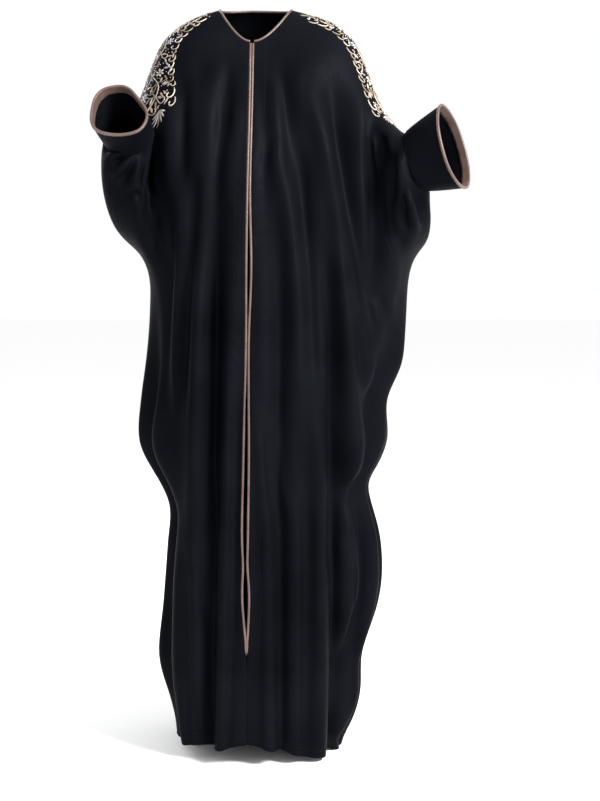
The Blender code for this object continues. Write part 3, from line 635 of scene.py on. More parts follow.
def pucker_depths(points, normals, side):
    """How far the puckers press each point of one front in."""
    edge = from_front_edge(points)
    total = np.zeros(len(points))
    for row in PUCKERS:
        pucker = dict(zip(PUCKER_COLUMNS, row))
        if pucker["side"] != side:
            continue
        run = pucker["top"] - pucker["bottom"]
        along = (pucker["top"] - points[:, 2]) / run
        fade = ease(along * PUCKER_FADE) * ease((1 - along) * PUCKER_FADE)
        place = (points[:, 2] - pucker["slant"] * edge) / pucker["spacing"]
        uneven = sum(part * np.sin(place * rate + start) for part, rate, start in PUCKER_WANDERS)
        wave = 0.5 + 0.5 * np.sin(2 * np.pi * place + 2 * uneven)
        least, part, rate, start = PUCKER_VARIES
        strength = least + part * np.sin(place * rate + start)
        across = np.exp(-(((edge - PUCKER_AT) / PUCKER_REACH) ** 2))
        total += pucker["depth"] * strength * fade * across * wave**2
    return total * np.clip(-normals[:, 1], 0, 1)


def directed_edges(faces):
    """Each face edge as (from, to), with the number of its face and corner."""
    following = np.roll(faces, -1, axis=1)
    numbers = np.indices(faces.shape)
    return faces.ravel(), following.ravel(), numbers[0].ravel(), numbers[1].ravel()


def free_edges(faces, count):
    """The edges that only one face uses: from, to, face and corner."""
    start, end, face, corner = directed_edges(faces)
    present = np.isin(start * count + end, end * count + start)
    lone = ~present
    return start[lone], end[lone], face[lone], corner[lone]


def two_skins(points, normals, faces, grain, thickness):
    """The cloth's outer and inner skins, joined round every free edge by a strip of round section."""
    count = len(points)
    half = np.asarray(thickness)[:, None] / 2
    start, end, face, corner = free_edges(faces, count)
    away = np.zeros_like(points)
    outward = unit(np.cross(points[end] - points[start], normals[start] + normals[end]))
    np.add.at(away, start, outward)
    np.add.at(away, end, outward)
    on_edge = np.unique(np.concatenate([start, end]))
    number = np.full(count, -1)
    number[on_edge] = 2 * count + np.arange(len(on_edge))
    middle = points[on_edge] + unit(away[on_edge]) * half[on_edge]
    skins = np.concatenate([points + normals * half, points - normals * half, middle])
    outer_strip = np.stack([end, start, number[start], number[end]], axis=1)
    inner_strip = np.stack([number[end], number[start], start + count, end + count], axis=1)
    strip_grain = np.stack([grain[face, (corner + 1) % 4], grain[face, corner]], axis=1)[:, [0, 1, 1, 0]]
    all_faces = np.concatenate([faces, faces[:, ::-1] + count, outer_strip, inner_strip])
    all_grain = np.concatenate([grain, grain[:, ::-1], strip_grain, strip_grain])
    return skins, all_faces, all_grain


def add_piece(name, points, faces, grain, finish):
    """A smooth-shaded mesh object that rides on the body, with its weave grid as its UV map."""
    mesh = bpy.data.meshes.new(name)
    mesh.from_pydata(np.asarray(points).tolist(), [], np.asarray(faces).tolist())
    layer = mesh.uv_layers.new(name="grain")
    layer.data.foreach_set("uv", np.asarray(grain, float).ravel())
    mesh.materials.append(finish)
    mesh.shade_smooth()
    piece = bpy.data.objects.new(name, mesh)
    bpy.context.scene.collection.objects.link(piece)
    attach(piece, "root")
    return piece


def new_material(name):
    """A material with its Principled shader, and a function that adds a node to it."""
    made = bpy.data.materials.new(name)
    made.use_nodes = True
    shader = made.node_tree.nodes["Principled BSDF"]

    def add(kind, **inputs):
        node = made.node_tree.nodes.new(kind)
        for key, value in inputs.items():
            socket = node.inputs[key.replace("_", " ")]
            if isinstance(value, bpy.types.NodeSocket):
                made.node_tree.links.new(value, socket)
            else:
                socket.default_value = value
        return node

    return made, shader, add


def link(material, source, target):
    material.node_tree.links.new(source, target)


def two_tones(add, factor, tones):
    """A colour between two tones, each given with the factor at which it is reached."""
    node = add("ShaderNodeValToRGB", Fac=factor)
    for point, (place, colour) in zip(node.color_ramp.elements, tones):
        point.position = place
        point.color = (*colour, 1.0)
    return node.outputs["Color"]


def grain_noise(add, grains, detail):
    """Noise over the weave grid, with so many grains a metre across and along."""
    grid_place = add("ShaderNodeUVMap").outputs["UV"]
    place = add("ShaderNodeMapping", Vector=grid_place, Scale=(*grains, 1.0)).outputs["Vector"]
    return add("ShaderNodeTexNoise", Vector=place, Scale=1.0, Detail=detail).outputs["Fac"]


# The crepe's two tones with the factors where they are reached, and its pebbles and slubs a metre.
CREPE_TONES = ((0.35, (0.0018, 0.0021, 0.0032)), (0.68, (0.0033, 0.0038, 0.0056)))
CREPE_TONE_SCALE = 7.0
CREPE_PEBBLES = (1500.0, 1100.0)
CREPE_SLUBS = (260.0, 60.0)
CREPE_SHEEN = (0.84, 0.90, 1.0, 1.0)


def crepe_finish():
    """Black satin-faced crepe: a fine pebbled weave with a faint bluish sheen, a little uneven in tone."""
    made, shader, add = new_material("black crepe")
    place = add("ShaderNodeTexCoord").outputs["Object"]
    tone = add(
        "ShaderNodeTexNoise", Vector=place, Scale=CREPE_TONE_SCALE, Detail=3.0
    ).outputs["Fac"]
    link(made, two_tones(add, tone, CREPE_TONES), shader.inputs["Base Color"])
    pebbles = grain_noise(add, CREPE_PEBBLES, 2.0)
    slubs = grain_noise(add, CREPE_SLUBS, 3.0)
    roughness = add(
        "ShaderNodeMapRange", Value=slubs, From_Min=0.3, From_Max=0.7, To_Min=0.46, To_Max=0.58
    )
    link(made, roughness.outputs["Result"], shader.inputs["Roughness"])
    fine = add("ShaderNodeBump", Height=pebbles, Strength=0.35, Distance=0.0002)
    broad = add(
        "ShaderNodeBump", Height=slubs, Strength=0.20, Distance=0.0006, Normal=fine.outputs["Normal"]
    )
    link(made, broad.outputs["Normal"], shader.inputs["Normal"])
    shader.inputs["IOR"].default_value = 1.08
    shader.inputs["Specular Tint"].default_value = CREPE_SHEEN
    return made


black_crepe = crepe_finish()
finished = []
for number, name in enumerate(PANELS):
    own = cloth_panels == number
    others = np.unique(cloth_faces[~own])
    used, local = np.unique(cloth_faces[own], return_inverse=True)
    faces, grain = local.reshape(-1, 4), cloth_grain[own]
    points, normals = cloth_points[used].copy(), cloth_normals[used]
    start, end, _, _ = free_edges(faces, len(points))
    seam = np.isin(used, others)
    inward = np.zeros_like(points)
    on_seam = seam[start] & seam[end]
    pull = unit(np.cross(normals[start] + normals[end], points[end] - points[start]))[on_seam]
    np.add.at(inward, start[on_seam], pull)
    np.add.at(inward, end[on_seam], pull)
    points += unit(inward) * SEAM_GAP / 2 * (np.linalg.norm(inward, axis=1) > 0)[:, None]
    points -= normals * SEAM_DIP * seam[:, None]
    if name != "back_panel":
        points, faces, grain = split_rows(points, faces, grain)
        normals = point_normals(points, faces)
        points = points - normals * pucker_depths(points, normals, name.split("_")[0])[:, None]
    normals = point_normals(points, faces)
    vertex_v = np.zeros(len(points))
    vertex_v[faces.ravel()] = grain[..., 1].ravel()
    vertex_u = np.zeros(len(points))
    vertex_u[faces.ravel()] = grain[..., 0].ravel()
    body = vertex_u < min(SLEEVE_UV_START.values())
    thickness = np.full(len(points), CLOTH_THICKNESS)
    thickness[body & (vertex_v > LENGTH - HEM_DEPTH)] = HEM_THICKNESS
    if name != "back_panel":
        near = body & (from_front_edge(points) < PLACKET_WIDTH)
        thickness[near] = np.maximum(thickness[near], PLACKET_THICKNESS)
    finished.append((points, faces))
    panel = add_piece(name + "_cloth", *two_skins(points, normals, faces, grain, thickness), black_crepe)
    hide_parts(name)

# Topstitching: two rows of black thread along the turned-up hem, and one row down each front that holds
# the placket's inner edge. Each stitch is a short raised thread that dips into the cloth at both ends.
STITCH_PITCH = 0.0034
STITCH_SHARE = 0.80
STITCH_RADIUS = 0.00032
STITCH_SIDES = 5
STITCH_AHEAD = 0.001
# Rings along one stitch: share of its length, and its size and height in radii.
STITCH_SECTIONS = ((0.0, 0.45, -0.9), (0.2, 1.0, 0.5), (0.8, 1.0, 0.5), (1.0, 0.45, -0.9))
HEM_ROWS = (0.016, 0.0225)
STITCH_STRIDE = 0.004
BLACK_THREAD = (0.003, 0.0033, 0.005)
ON_LINE = 1e-5


def tree_of(parts):
    """One search tree over the middle of the finished cloth."""
    corners = []
    places = []
    for points, faces in parts:
        corners += (faces + sum(len(points) for points in places)).tolist()
        places.append(points)
    return BVHTree.FromPolygons(np.concatenate(places).tolist(), corners)


cloth_tree = tree_of(finished)


def walk(start, heading, distance):
    """Goes straight over the cloth from a place, and gives every place and normal on the way."""
    steps = max(1, round(distance / STITCH_STRIDE))
    place, normal, _, _ = cloth_tree.find_nearest(Vector(start))
    heading = Vector(heading)
    passed = [(place, normal)]
    for _ in range(steps):
        heading = (heading - normal * heading.dot(normal)).normalized()
        place, normal, _, _ = cloth_tree.find_nearest(place + heading * (distance / steps))
        passed.append((place, normal))
    return passed


def stitch_row(line, normals, lift):
    """A row of stitches along a line, each standing off the line by a lift, as points, faces and grain."""
    steps = np.linalg.norm(np.diff(line, axis=0), axis=1)
    along = np.concatenate([[0], np.cumsum(steps)])
    starts = np.arange(0, along[-1] - STITCH_PITCH, STITCH_PITCH)
    angle = 2 * np.pi * np.arange(STITCH_SIDES) / STITCH_SIDES
    rings = []
    for share, size, height in STITCH_SECTIONS:
        wanted = starts + share * STITCH_SHARE * STITCH_PITCH
        centre = np.stack([np.interp(wanted, along, line[:, axis]) for axis in range(3)], axis=1)
        beyond = wanted + STITCH_AHEAD
        ahead = np.stack([np.interp(beyond, along, line[:, axis]) for axis in range(3)], axis=1)
        up = unit(np.stack([np.interp(wanted, along, normals[:, axis]) for axis in range(3)], axis=1))
        across = unit(np.cross(ahead - centre, up))
        centre = centre + up * (lift + height * STITCH_RADIUS)
        ring = (
            centre[:, None]
            + (size * STITCH_RADIUS * np.cos(angle))[None, :, None] * across[:, None]
            + (size * STITCH_RADIUS * np.sin(angle))[None, :, None] * up[:, None]
        )
        rings.append(ring)
    points = np.stack(rings, axis=1)
    stitch_points = len(STITCH_SECTIONS) * STITCH_SIDES
    one = ring_faces(len(STITCH_SECTIONS), STITCH_SIDES, False)
    faces = (one[None] + (np.arange(len(starts)) * stitch_points)[:, None, None]).reshape(-1, 4)
    return points.reshape(-1, 3), faces, np.zeros((len(faces), 4, 2))


def joined(parts):
    """Several sets of points, faces and grain as one."""
    points, faces, grain = [], [], []
    count = 0
    for part_points, part_faces, part_grain in parts:
        points.append(part_points)
        faces.append(part_faces + count)
        grain.append(part_grain)
        count += len(part_points)
    return np.concatenate(points), np.concatenate(faces), np.concatenate(grain)


def ring_faces(ring_count, points_a_ring, closed):
    """Faces between rings of points, each ring closed on itself, and the rings too if closed is true."""
    index = np.arange((ring_count if closed else ring_count - 1) * points_a_ring)
    ring, step = index // points_a_ring, index % points_a_ring
    after, beside = (ring + 1) % ring_count, (step + 1) % points_a_ring
    first, second = ring * points_a_ring, after * points_a_ring
    return np.stack([first + step, first + beside, second + beside, second + step], axis=1)


def grain_line(panel, axis, value, low, high):
    """One panel's points along a line of its weave grid, in order, between two places across the grid."""
    own = cloth_panels == PANELS.index(panel)
    corners = cloth_faces[own].ravel()
    place = cloth_grain[own].reshape(-1, 2)
    on_line = np.abs(place[:, axis] - value) < ON_LINE
    on_line &= (place[:, 0] > low - ON_LINE) & (place[:, 0] < high + ON_LINE)
    found, first = np.unique(corners[on_line], return_index=True)
    order = np.argsort(place[on_line][first][:, 1 - axis])
    return found[order]


def line_round(length):
    """The cloth's points round the body at one length of the weave grid, from the left front edge."""
    panels = ("left_front", "back_panel", "right_front")
    first, *others = [grain_line(panel, 1, length, 0.0, MEAN_GIRTH) for panel in panels]
    return np.concatenate([first] + [line[1:] for line in others])


def thread_finish(name, colour, roughness):
    """A plain sewing thread."""
    made, shader, _ = new_material(name)
    shader.inputs["Base Color"].default_value = (*colour, 1.0)
    shader.inputs["Roughness"].default_value = roughness
    shader.inputs["IOR"].default_value = 1.2
    return made


def sewn_row(starts, heading, distance, lift):
    """A row of stitches at a distance from an edge, over the cloth."""
    ends = [walk(start, heading, distance)[-1] for start in starts]
    return stitch_row(np.array([end[0] for end in ends]), np.array([end[1] for end in ends]), lift)


black_thread = thread_finish("black thread", BLACK_THREAD, 0.5)
left_edge = grain_line("left_front", 0, 0.0, 0.0, MEAN_GIRTH)
right_edge = grain_line("right_front", 0, MEAN_GIRTH, 0.0, MEAN_GIRTH)
placket_rows = [
    sewn_row(cloth_points[edge], (inward, 0, 0), PLACKET_WIDTH, PLACKET_THICKNESS / 2)
    for edge, inward in ((left_edge, 1), (right_edge, -1))
]
hem_line = line_round(LENGTH)
hem_rows = [sewn_row(cloth_points[hem_line], (0, 0, 1), height, HEM_THICKNESS / 2) for height in HEM_ROWS]
for name, rows in (("placket_topstitch", placket_rows), ("hem_topstitch", hem_rows)):
    stitches = add_piece(name, *joined(rows), black_thread)

# Embroidery: a wide band of machine embroidery over each shoulder, worked in shiny rayon and metallic
# thread before the seams are closed. Corded scrolls edge it and run along it, with satin-stitched leaves,
# flowers and buds between them and sprays of long leaves at its end.
# A chart of each shoulder holds places on the cloth at even strides along the over-arm seam, and in
# front of it and behind it.
CHART_STRIDE = 0.004
CHART_LENGTH = 0.356
CHART_START = 0.010
CHART_FRONT = 0.156
CHART_BACK = 0.128
CHART_SMOOTHING = 4
CHART_RUN_PASSES = 6
FROM_LAST = 1.001
CHART_OUT = 0.1
CHART_UP = 0.2
CHART_NECK_MARGIN = 0.004
CHART_MARGIN = 0.006
BAND_LENGTH = 0.306
BAND_HALF_WIDTH = 0.082
BAND_ROUNDED_FROM = 0.255
# How the band lies on each shoulder: how far from the neck it starts, how far in front of the over-arm
# seam its middle is there, and how far it is turned forward, in degrees.
BAND_LIES = {"left": (0.026, -0.036, 8), "right": (0.020, -0.046, 23)}
THREADS = (
    # name, colour, share of the leaves
    ("beige gold thread", (0.29, 0.235, 0.18), 0.40),
    ("olive gold thread", (0.145, 0.125, 0.080), 0.18),
    ("dusty rose thread", (0.25, 0.16, 0.14), 0.12),
    ("lavender silver thread", (0.29, 0.285, 0.35), 0.16),
    ("cream thread", (0.43, 0.39, 0.33), 0.14),
)
BEIGE, OLIVE, ROSE, SILVER, CREAM = range(len(THREADS))
# Cords: their section is (share of half their width, share of their rise). They start fine and end in a
# knot.
CORD_WIDTH = 0.0028
CORD_RISE = 0.0011
CORD_STEP = 0.0012
CORD_SECTION = ((-1.0, -0.4), (-0.62, 0.62), (0.0, 1.0), (0.62, 0.62), (1.0, -0.4))
CORD_START_SIZE = 0.4
CORD_GROWTH = 5
CORD_KNOT = 0.35
CORD_KNOT_RUN = 8
CORD_END_SIZE = 0.5
# The map of places already taken, in small spots, and how far it goes on before and past the band.
SPOT = 0.0005
MAP_BEFORE = 0.012
MAP_BEYOND = 0.050
CLEARANCE = 0.0007
EMBROIDERY_LIFT = 0.0002
# Leaves: length and width from the largest, how far each leans from its cord in turn, and their form.
LEAF_SIZES = ((0.0125, 0.0050), (0.0098, 0.0043), (0.0074, 0.0035), (0.0054, 0.0027))
LEAF_LEANS = (38, 56, 26, 70)
LEAF_RISE = 0.0012
LEAF_STEPS = 7
LEAF_ACROSS = (-1.0, -0.55, 0.0, 0.55, 1.0)
LEAF_FULLER_TO_TIP = 1.25
LEAF_BLUNT = 0.8
LEAF_POINT = 0.05
LEAF_EDGE_DROP = 1.4
LEAF_VEIN = 0.62
LEAF_EVERY = 2
LEAF_SPOTS = (6, 3)
LEAF_SPOTS_FROM = 0.22
LEAF_SPOTS_TO = 0.96
THREAD_MIXING = 0.618034
THREAD_RIBS = 620.0
# Flowers: along and across the band, radius, petals, thread, and thread of the middle.
FLOWERS = (
    (0.034, -0.004, 0.0110, 7, SILVER, BEIGE),
    (0.082, 0.002, 0.0120, 7, CREAM, ROSE),
    (0.112, 0.052, 0.0100, 6, SILVER, CREAM),
    (0.128, -0.050, 0.0105, 7, ROSE, CREAM),
    (0.158, -0.002, 0.0120, 8, SILVER, BEIGE),
    (0.190, 0.046, 0.0110, 6, CREAM, OLIVE),
    (0.206, -0.048, 0.0110, 7, SILVER, ROSE),
    (0.234, 0.004, 0.0125, 8, SILVER, CREAM),
)
# Petals: the share of the radius where they start, their width in even shares, and how far flowers are
# turned along the band, in degrees.
PETAL_FROM = 0.22
PETAL_WIDTH = 2.6
PETAL_TURN = 400
FLOWER_MIDDLE = 0.24
# Sprays of long leaves at the band's end: along, across, heading in degrees, leaves, and their length.
SPRAYS = (
    (0.266, 0.048, 14, 7, 0.023),
    (0.276, 0.000, 0, 7, 0.026),
    (0.266, -0.048, -14, 7, 0.023),
)
SPRAY_SPREAD = 118
SPRAY_LEAF_WIDTH = 0.0038
SPRAY_SHORTER = 0.55
SPRAY_MARGIN = 0.006
SPRAY_CLEARANCE = CLEARANCE + 0.0006
SPRAY_THREADS = (BEIGE, SILVER, CREAM, OLIVE)
# Stems that run along the band: how far across, swing, period, shift in turns, and thread.
STEMS = (
    (0.030, 0.013, 0.100, 0.00, BEIGE),
    (-0.030, 0.013, 0.100, 0.50, BEIGE),
)
STEM_FROM = 0.006
STEM_ENDS_SHORT = 0.034
# Scrolls that spring from each bend of a stem: lean in degrees, length and how tightly they end.
SCROLLS = ((46, 0.050, 330), (-52, 0.042, 380), (84, 0.030, 430), (-16, 0.034, 400))
SCROLL_FIRST_TURN = 20
SCROLL_WIDTH = CORD_WIDTH * 0.82
SCROLL_THREADS = (OLIVE, BEIGE, ROSE, CREAM)
SCROLL_SHORTEST = 0.009
SCROLL_SPRINGS_OVER = 3
FIRST_SPRING = 6
LAST_SPRING = 4
# Scrolls of the border: how far apart, length, and how they turn in at first and at last.
BORDER_SPACING = 0.0172
BORDER_SCROLL = (0.033, 48, 430)
BORDER_VARIES = (1.0, 1.22, 0.76, 1.1, 0.86)
BORDER_FROM = 0.010
BORDER_PAST = 0.012
BORDER_IN = 0.0035
BORDER_STAGGER = 0.002
BORDER_LEAN = 14
BORDER_WIDTH = CORD_WIDTH * 0.9
BORDER_THREADS = (BEIGE, CREAM, BEIGE, OLIVE)
# Buds in the gaps: how far they stray from even rows, as a share of their spacing, and how they vary.
BUD_RADIUS = 0.0017
BUD_SPACING = 0.0118
BUD_FROM = 0.006
BUD_STRAYS = 0.4
BUD_ROW_TURN = 2.4
BUD_NUMBER_TURN = 1.7
BUD_RING_STEP = 0.8
BUD_LEAST = 0.75
BUD_VARIES = 0.25
BUD_ROOM = 1.5
BUD_STEPS = 5
BUD_END = 0.02


def over_arm_seam(side):
    """The seam over the shoulder from the neck to the armhole's top."""
    seam_u = SIDE_COLUMN[side] * MEAN_GIRTH / COLUMNS
    seam = grain_line(side + "_front", 0, seam_u, seam_u, seam_u)
    return cloth_points[seam][: 1 + 2**FINER_LEVELS * ARMHOLE_TOP_ROW]


def straight_over(start, heading, distance):
    """Places reached at even strides by going straight over the cloth."""
    place, normal, _, _ = cloth_tree.find_nearest(Vector(start))
    heading = Vector(heading)
    places = []
    for _ in range(round(distance / CHART_STRIDE)):
        heading = (heading - normal * heading.dot(normal)).normalized()
        place, normal, _, _ = cloth_tree.find_nearest(place + heading * CHART_STRIDE)
        places.append(place)
    return places


def shoulder_chart(side):
    """Places on the cloth by distance along the over-arm seam and in front of it, with their normals."""
    line = over_arm_seam(side)
    length = np.linalg.norm(np.diff(line, axis=0), axis=1).sum()
    line = evenly_spaced(line, round(length / CHART_STRIDE) + 1)
    onward = straight_over(line[-1], line[-1] - line[-4], CHART_LENGTH + CHART_START - length)
    middle = np.concatenate([line, np.array(onward)])
    runs = unit(np.gradient(middle, axis=0))
    for _ in range(CHART_RUN_PASSES):
        runs[1:-1] = unit(runs[:-2] + 2 * runs[1:-1] + runs[2:])
    rows = []
    for place, run in zip(middle, runs):
        _, normal, _, _ = cloth_tree.find_nearest(Vector(place))
        forward = np.cross(run, normal)
        forward *= -np.sign(forward[1])
        before = straight_over(place, -forward, CHART_BACK)
        after = straight_over(place, forward, CHART_FRONT)
        rows.append(before[::-1] + [Vector(place)] + after)
    places = np.array([[tuple(place) for place in row] for row in rows])
    for _ in range(CHART_SMOOTHING):
        middle = (places[:-2, 1:-1] + places[2:, 1:-1] + places[1:-1, :-2] + places[1:-1, 2:]) / 4
        places[1:-1, 1:-1] = (places[1:-1, 1:-1] + middle) / 2
        flat = [cloth_tree.find_nearest(Vector(place))[0] for place in places[1:-1, 1:-1].reshape(-1, 3)]
        places[1:-1, 1:-1] = np.array(flat).reshape(places[1:-1, 1:-1].shape)
    normals = unit(np.cross(np.gradient(places, axis=0), np.gradient(places, axis=1)))
    outward = places - places.mean(axis=(0, 1)) + np.array([0, 0, CHART_UP])
    outward[..., 0] += CHART_OUT if side == "left" else -CHART_OUT
    normals *= np.sign(np.sum(normals * outward, axis=(0, 1, 2)))
    return places, normals


def on_chart(chart, along, across, height):
    """Points at some distances along and across the chart, and above the cloth."""
    places, normals = chart
    row = np.clip((along + CHART_START) / CHART_STRIDE, 0, len(places) - FROM_LAST)
    column = np.clip((across + CHART_BACK) / CHART_STRIDE, 0, len(places[0]) - FROM_LAST)
    low_row, low_column = row.astype(int), column.astype(int)
    s, t = (row - low_row)[..., None], (column - low_column)[..., None]
    found = []
    for grid_values in (places, normals):
        upper = (1 - t) * grid_values[low_row, low_column] + t * grid_values[low_row, low_column + 1]
        below = grid_values[low_row + 1, low_column + 1]
        lower = (1 - t) * grid_values[low_row + 1, low_column] + t * below
        found.append((1 - s) * upper + s * lower)
    return found[0] + unit(found[1]) * height[..., None]


def band_on_chart(side, along, across):
    """Where places of the band lie on its shoulder's chart."""
    start, forward, turn = BAND_LIES[side]
    run, beside = math.cos(math.radians(turn)), math.sin(math.radians(turn))
    return start + along * run - across * beside, forward + along * beside + across * run


class Band:
    """One band as it is drawn: places taken so far, and the parts made, all flat."""

    def __init__(self, side):
        self.side = side
        self.parts = []
        self.lines = []
        rows = round((BAND_LENGTH + MAP_BEYOND) / SPOT)
        columns = round(4 * BAND_HALF_WIDTH / SPOT)
        self.taken = np.zeros((rows, columns), bool)

    def spots(self, along, across):
        """The map's rows and columns for some places."""
        rows = np.round((np.asarray(along) + MAP_BEFORE) / SPOT).astype(int)
        columns = np.round((np.asarray(across) + 2 * BAND_HALF_WIDTH) / SPOT).astype(int)
        rows = np.clip(rows, 0, self.taken.shape[0] - 1)
        return rows, np.clip(columns, 0, self.taken.shape[1] - 1)

    def take(self, along, across, reach):
        """Marks everything within reach of some places as taken."""
        size = int(reach / SPOT) + 1
        for row_shift in range(-size, size + 1):
            for column_shift in range(-size, size + 1):
                if row_shift**2 + column_shift**2 <= (reach / SPOT) ** 2:
                    shifted = self.spots(along + row_shift * SPOT, across + column_shift * SPOT)
                    self.taken[shifted] = True

    def is_free(self, along, across):
        return not self.taken[self.spots(along, across)].any()

    def inside(self, along, across, margin=0.0):
        """Which places lie in the band, which is straight-sided and rounded off over the sleeve."""
        past = np.clip((along - BAND_ROUNDED_FROM) / (BAND_LENGTH - BAND_ROUNDED_FROM), 0, 1)
        half = BAND_HALF_WIDTH * np.sqrt(1 - past**2)
        chart_along, chart_across = band_on_chart(self.side, along, across)
        on_cloth = (chart_along > CHART_NECK_MARGIN) & (chart_along < CHART_LENGTH - CHART_MARGIN)
        on_cloth &= chart_across > CHART_MARGIN - CHART_BACK
        on_cloth &= chart_across < CHART_FRONT - CHART_MARGIN
        return on_cloth & (along < BAND_LENGTH) & (np.abs(across) < half + margin)

    def add(self, along, across, height, columns, thread):
        """Adds a strip of points, so many across, to be laid on the cloth."""
        rows = len(along) // columns
        index = np.arange((rows - 1) * (columns - 1))
        row, column = index // (columns - 1), index % (columns - 1)
        first = row * columns + column
        faces = np.stack([first, first + 1, first + columns + 1, first + columns], axis=1)
        run = np.linspace(0, 1, rows)[row] * rows * CORD_STEP
        across_grain = column / (columns - 1) * CORD_WIDTH
        step, width = CORD_STEP, CORD_WIDTH / (columns - 1)
        corners = ((0, 0), (0, width), (step, width), (step, 0))
        grain = np.stack([np.stack([run + a, across_grain + b], axis=1) for a, b in corners], axis=1)
        self.parts.append((along, across, height, faces, grain, thread))

    def cord(self, path, headings, thread, width):
        """A corded line: round in section, finer at its start and thickened into a knot at its end."""
        share = np.linspace(0, 1, len(path))
        knot = np.clip(share * CORD_KNOT_RUN - (CORD_KNOT_RUN - 1), 0, 1)
        size = width / 2 * np.clip(share * CORD_GROWTH + CORD_START_SIZE, 0, 1) * (1 + CORD_KNOT * knot)
        size[-1] *= CORD_END_SIZE
        side = np.radians(headings)
        beside = np.stack([-np.sin(side), np.cos(side)], axis=1)
        across_share = np.array([place for place, _ in CORD_SECTION])
        rise = np.array([height for _, height in CORD_SECTION])
        flat = path[:, None] + (size[:, None] * across_share)[..., None] * beside[:, None]
        height = (size[:, None] / (width / 2)) * rise * CORD_RISE
        self.add(flat[..., 0].ravel(), flat[..., 1].ravel(), height.ravel(), len(CORD_SECTION), thread)
        self.take(path[:, 0], path[:, 1], width / 2 + CLEARANCE)
        self.lines.append((path, headings))

    def leaf(self, base, heading, length, width, thread):
        """A satin-stitched leaf: fuller towards its tip, domed, with a vein down its middle."""
        share = np.linspace(0, 1, LEAF_STEPS)
        half = width / 2 * np.sin(np.pi * share**LEAF_FULLER_TO_TIP) ** LEAF_BLUNT
        half[[0, -1]] = width * LEAF_POINT
        across = np.array(LEAF_ACROSS)
        angle = math.radians(heading)
        run, beside = (math.cos(angle), math.sin(angle)), (-math.sin(angle), math.cos(angle))
        along_leaf = np.repeat(share * length, len(across))
        off_leaf = np.outer(half, across).ravel()
        dome = np.outer(np.sqrt(half / (width / 2)), 1 - across**2 * LEAF_EDGE_DROP)
        dome[:, len(across) // 2] *= LEAF_VEIN
        along = base[0] + along_leaf * run[0] + off_leaf * beside[0]
        sideways = base[1] + along_leaf * run[1] + off_leaf * beside[1]
        self.add(along, sideways, dome.ravel() * LEAF_RISE, len(across), thread)

    def bud(self, middle, radius, thread):
        """A small round knot."""
        share = np.linspace(-1, 1, BUD_STEPS)
        half = radius * np.sqrt(np.clip(1 - share**2, BUD_END, 1))
        dome = np.sqrt(np.clip(1 - (share[:, None] ** 2 + (half[:, None] / radius * share) ** 2), 0, 1))
        along = middle[0] + np.repeat(share * radius, BUD_STEPS)
        across = middle[1] + np.outer(half, share).ravel()
        self.add(along, across, (dome * LEAF_RISE).ravel(), BUD_STEPS, thread)

    def flower(self, along, across, radius, petals, thread, middle_thread):
        """Leaf-shaped petals round a knot."""
        inner = radius * PETAL_FROM
        for petal in range(petals):
            heading = 360 * petal / petals + PETAL_TURN * along / BAND_LENGTH
            angle = math.radians(heading)
            base = (along + inner * math.cos(angle), across + inner * math.sin(angle))
            self.leaf(base, heading, radius - inner, PETAL_WIDTH * radius / petals, thread)
        self.bud((along, across), radius * FLOWER_MIDDLE, middle_thread)
        self.take(np.array([along]), np.array([across]), radius + CLEARANCE)

    def spray(self, along, across, heading, leaves, length):
        """Long leaves fanned out from one point, the middle one longest."""
        for number in range(leaves):
            off = number / (leaves - 1) - 0.5
            turned = heading + SPRAY_SPREAD * off
            reach = length * (1 - SPRAY_SHORTER * abs(off))
            thread = SPRAY_THREADS[number % len(SPRAY_THREADS)]
            spots = leaf_spots((along, across), turned, reach, SPRAY_LEAF_WIDTH)
            if self.inside(*spots, margin=SPRAY_MARGIN).all():
                self.leaf((along, across), turned, reach, SPRAY_LEAF_WIDTH, thread)
                self.take(*spots, SPRAY_CLEARANCE)

    def scroll(self, start, heading, length, first_turn, last_turn, thread, width):
        """A scroll from a point, cut short where it would leave the band or cross other work."""
        line, turned = curl(start, heading, length, first_turn, last_turn)
        blocked = self.taken[self.spots(line[:, 0], line[:, 1])] | ~self.inside(line[:, 0], line[:, 1])
        blocked[:SCROLL_SPRINGS_OVER] = False
        stop = int(np.argmax(blocked)) if blocked.any() else len(line)
        if stop * CORD_STEP > SCROLL_SHORTEST:
            self.cord(line[:stop], turned[:stop], thread, width)


def curl(start, heading, length, first_turn, last_turn):
    """A line that sets off on a heading in degrees and turns faster and faster, in turns of 1/m."""
    along = np.arange(0, length, CORD_STEP)
    share = along / length
    turning = first_turn + (last_turn - first_turn) * share**2
    angle = math.radians(heading) + np.concatenate([[0], np.cumsum(turning[:-1] * CORD_STEP)])
    steps = np.stack([np.cos(angle), np.sin(angle)], axis=1) * CORD_STEP
    return np.array(start) + np.concatenate([[[0, 0]], np.cumsum(steps, axis=0)[:-1]]), np.degrees(angle)


def leaf_spots(base, heading, length, width):
    """Places just inside a leaf's outline."""
    rows, columns = LEAF_SPOTS
    share, across = np.meshgrid(np.linspace(LEAF_SPOTS_FROM, 1.0, rows), np.linspace(-1, 1, columns))
    half = width / 2 * np.sin(np.pi * np.clip(share, 0, LEAF_SPOTS_TO))
    angle = math.radians(heading)
    along_leaf, off_leaf = (share * length).ravel(), (across * half).ravel()
    return (
        base[0] + along_leaf * math.cos(angle) - off_leaf * math.sin(angle),
        base[1] + along_leaf * math.sin(angle) + off_leaf * math.cos(angle),
    )


def thread_for(number):
    """The thread of the next leaf, so that each thread has its share in a mixed order."""
    place = (number * THREAD_MIXING) % 1
    for thread, (_, _, share) in enumerate(THREADS):
        if place < share:
            return thread
        place -= share
    return 0


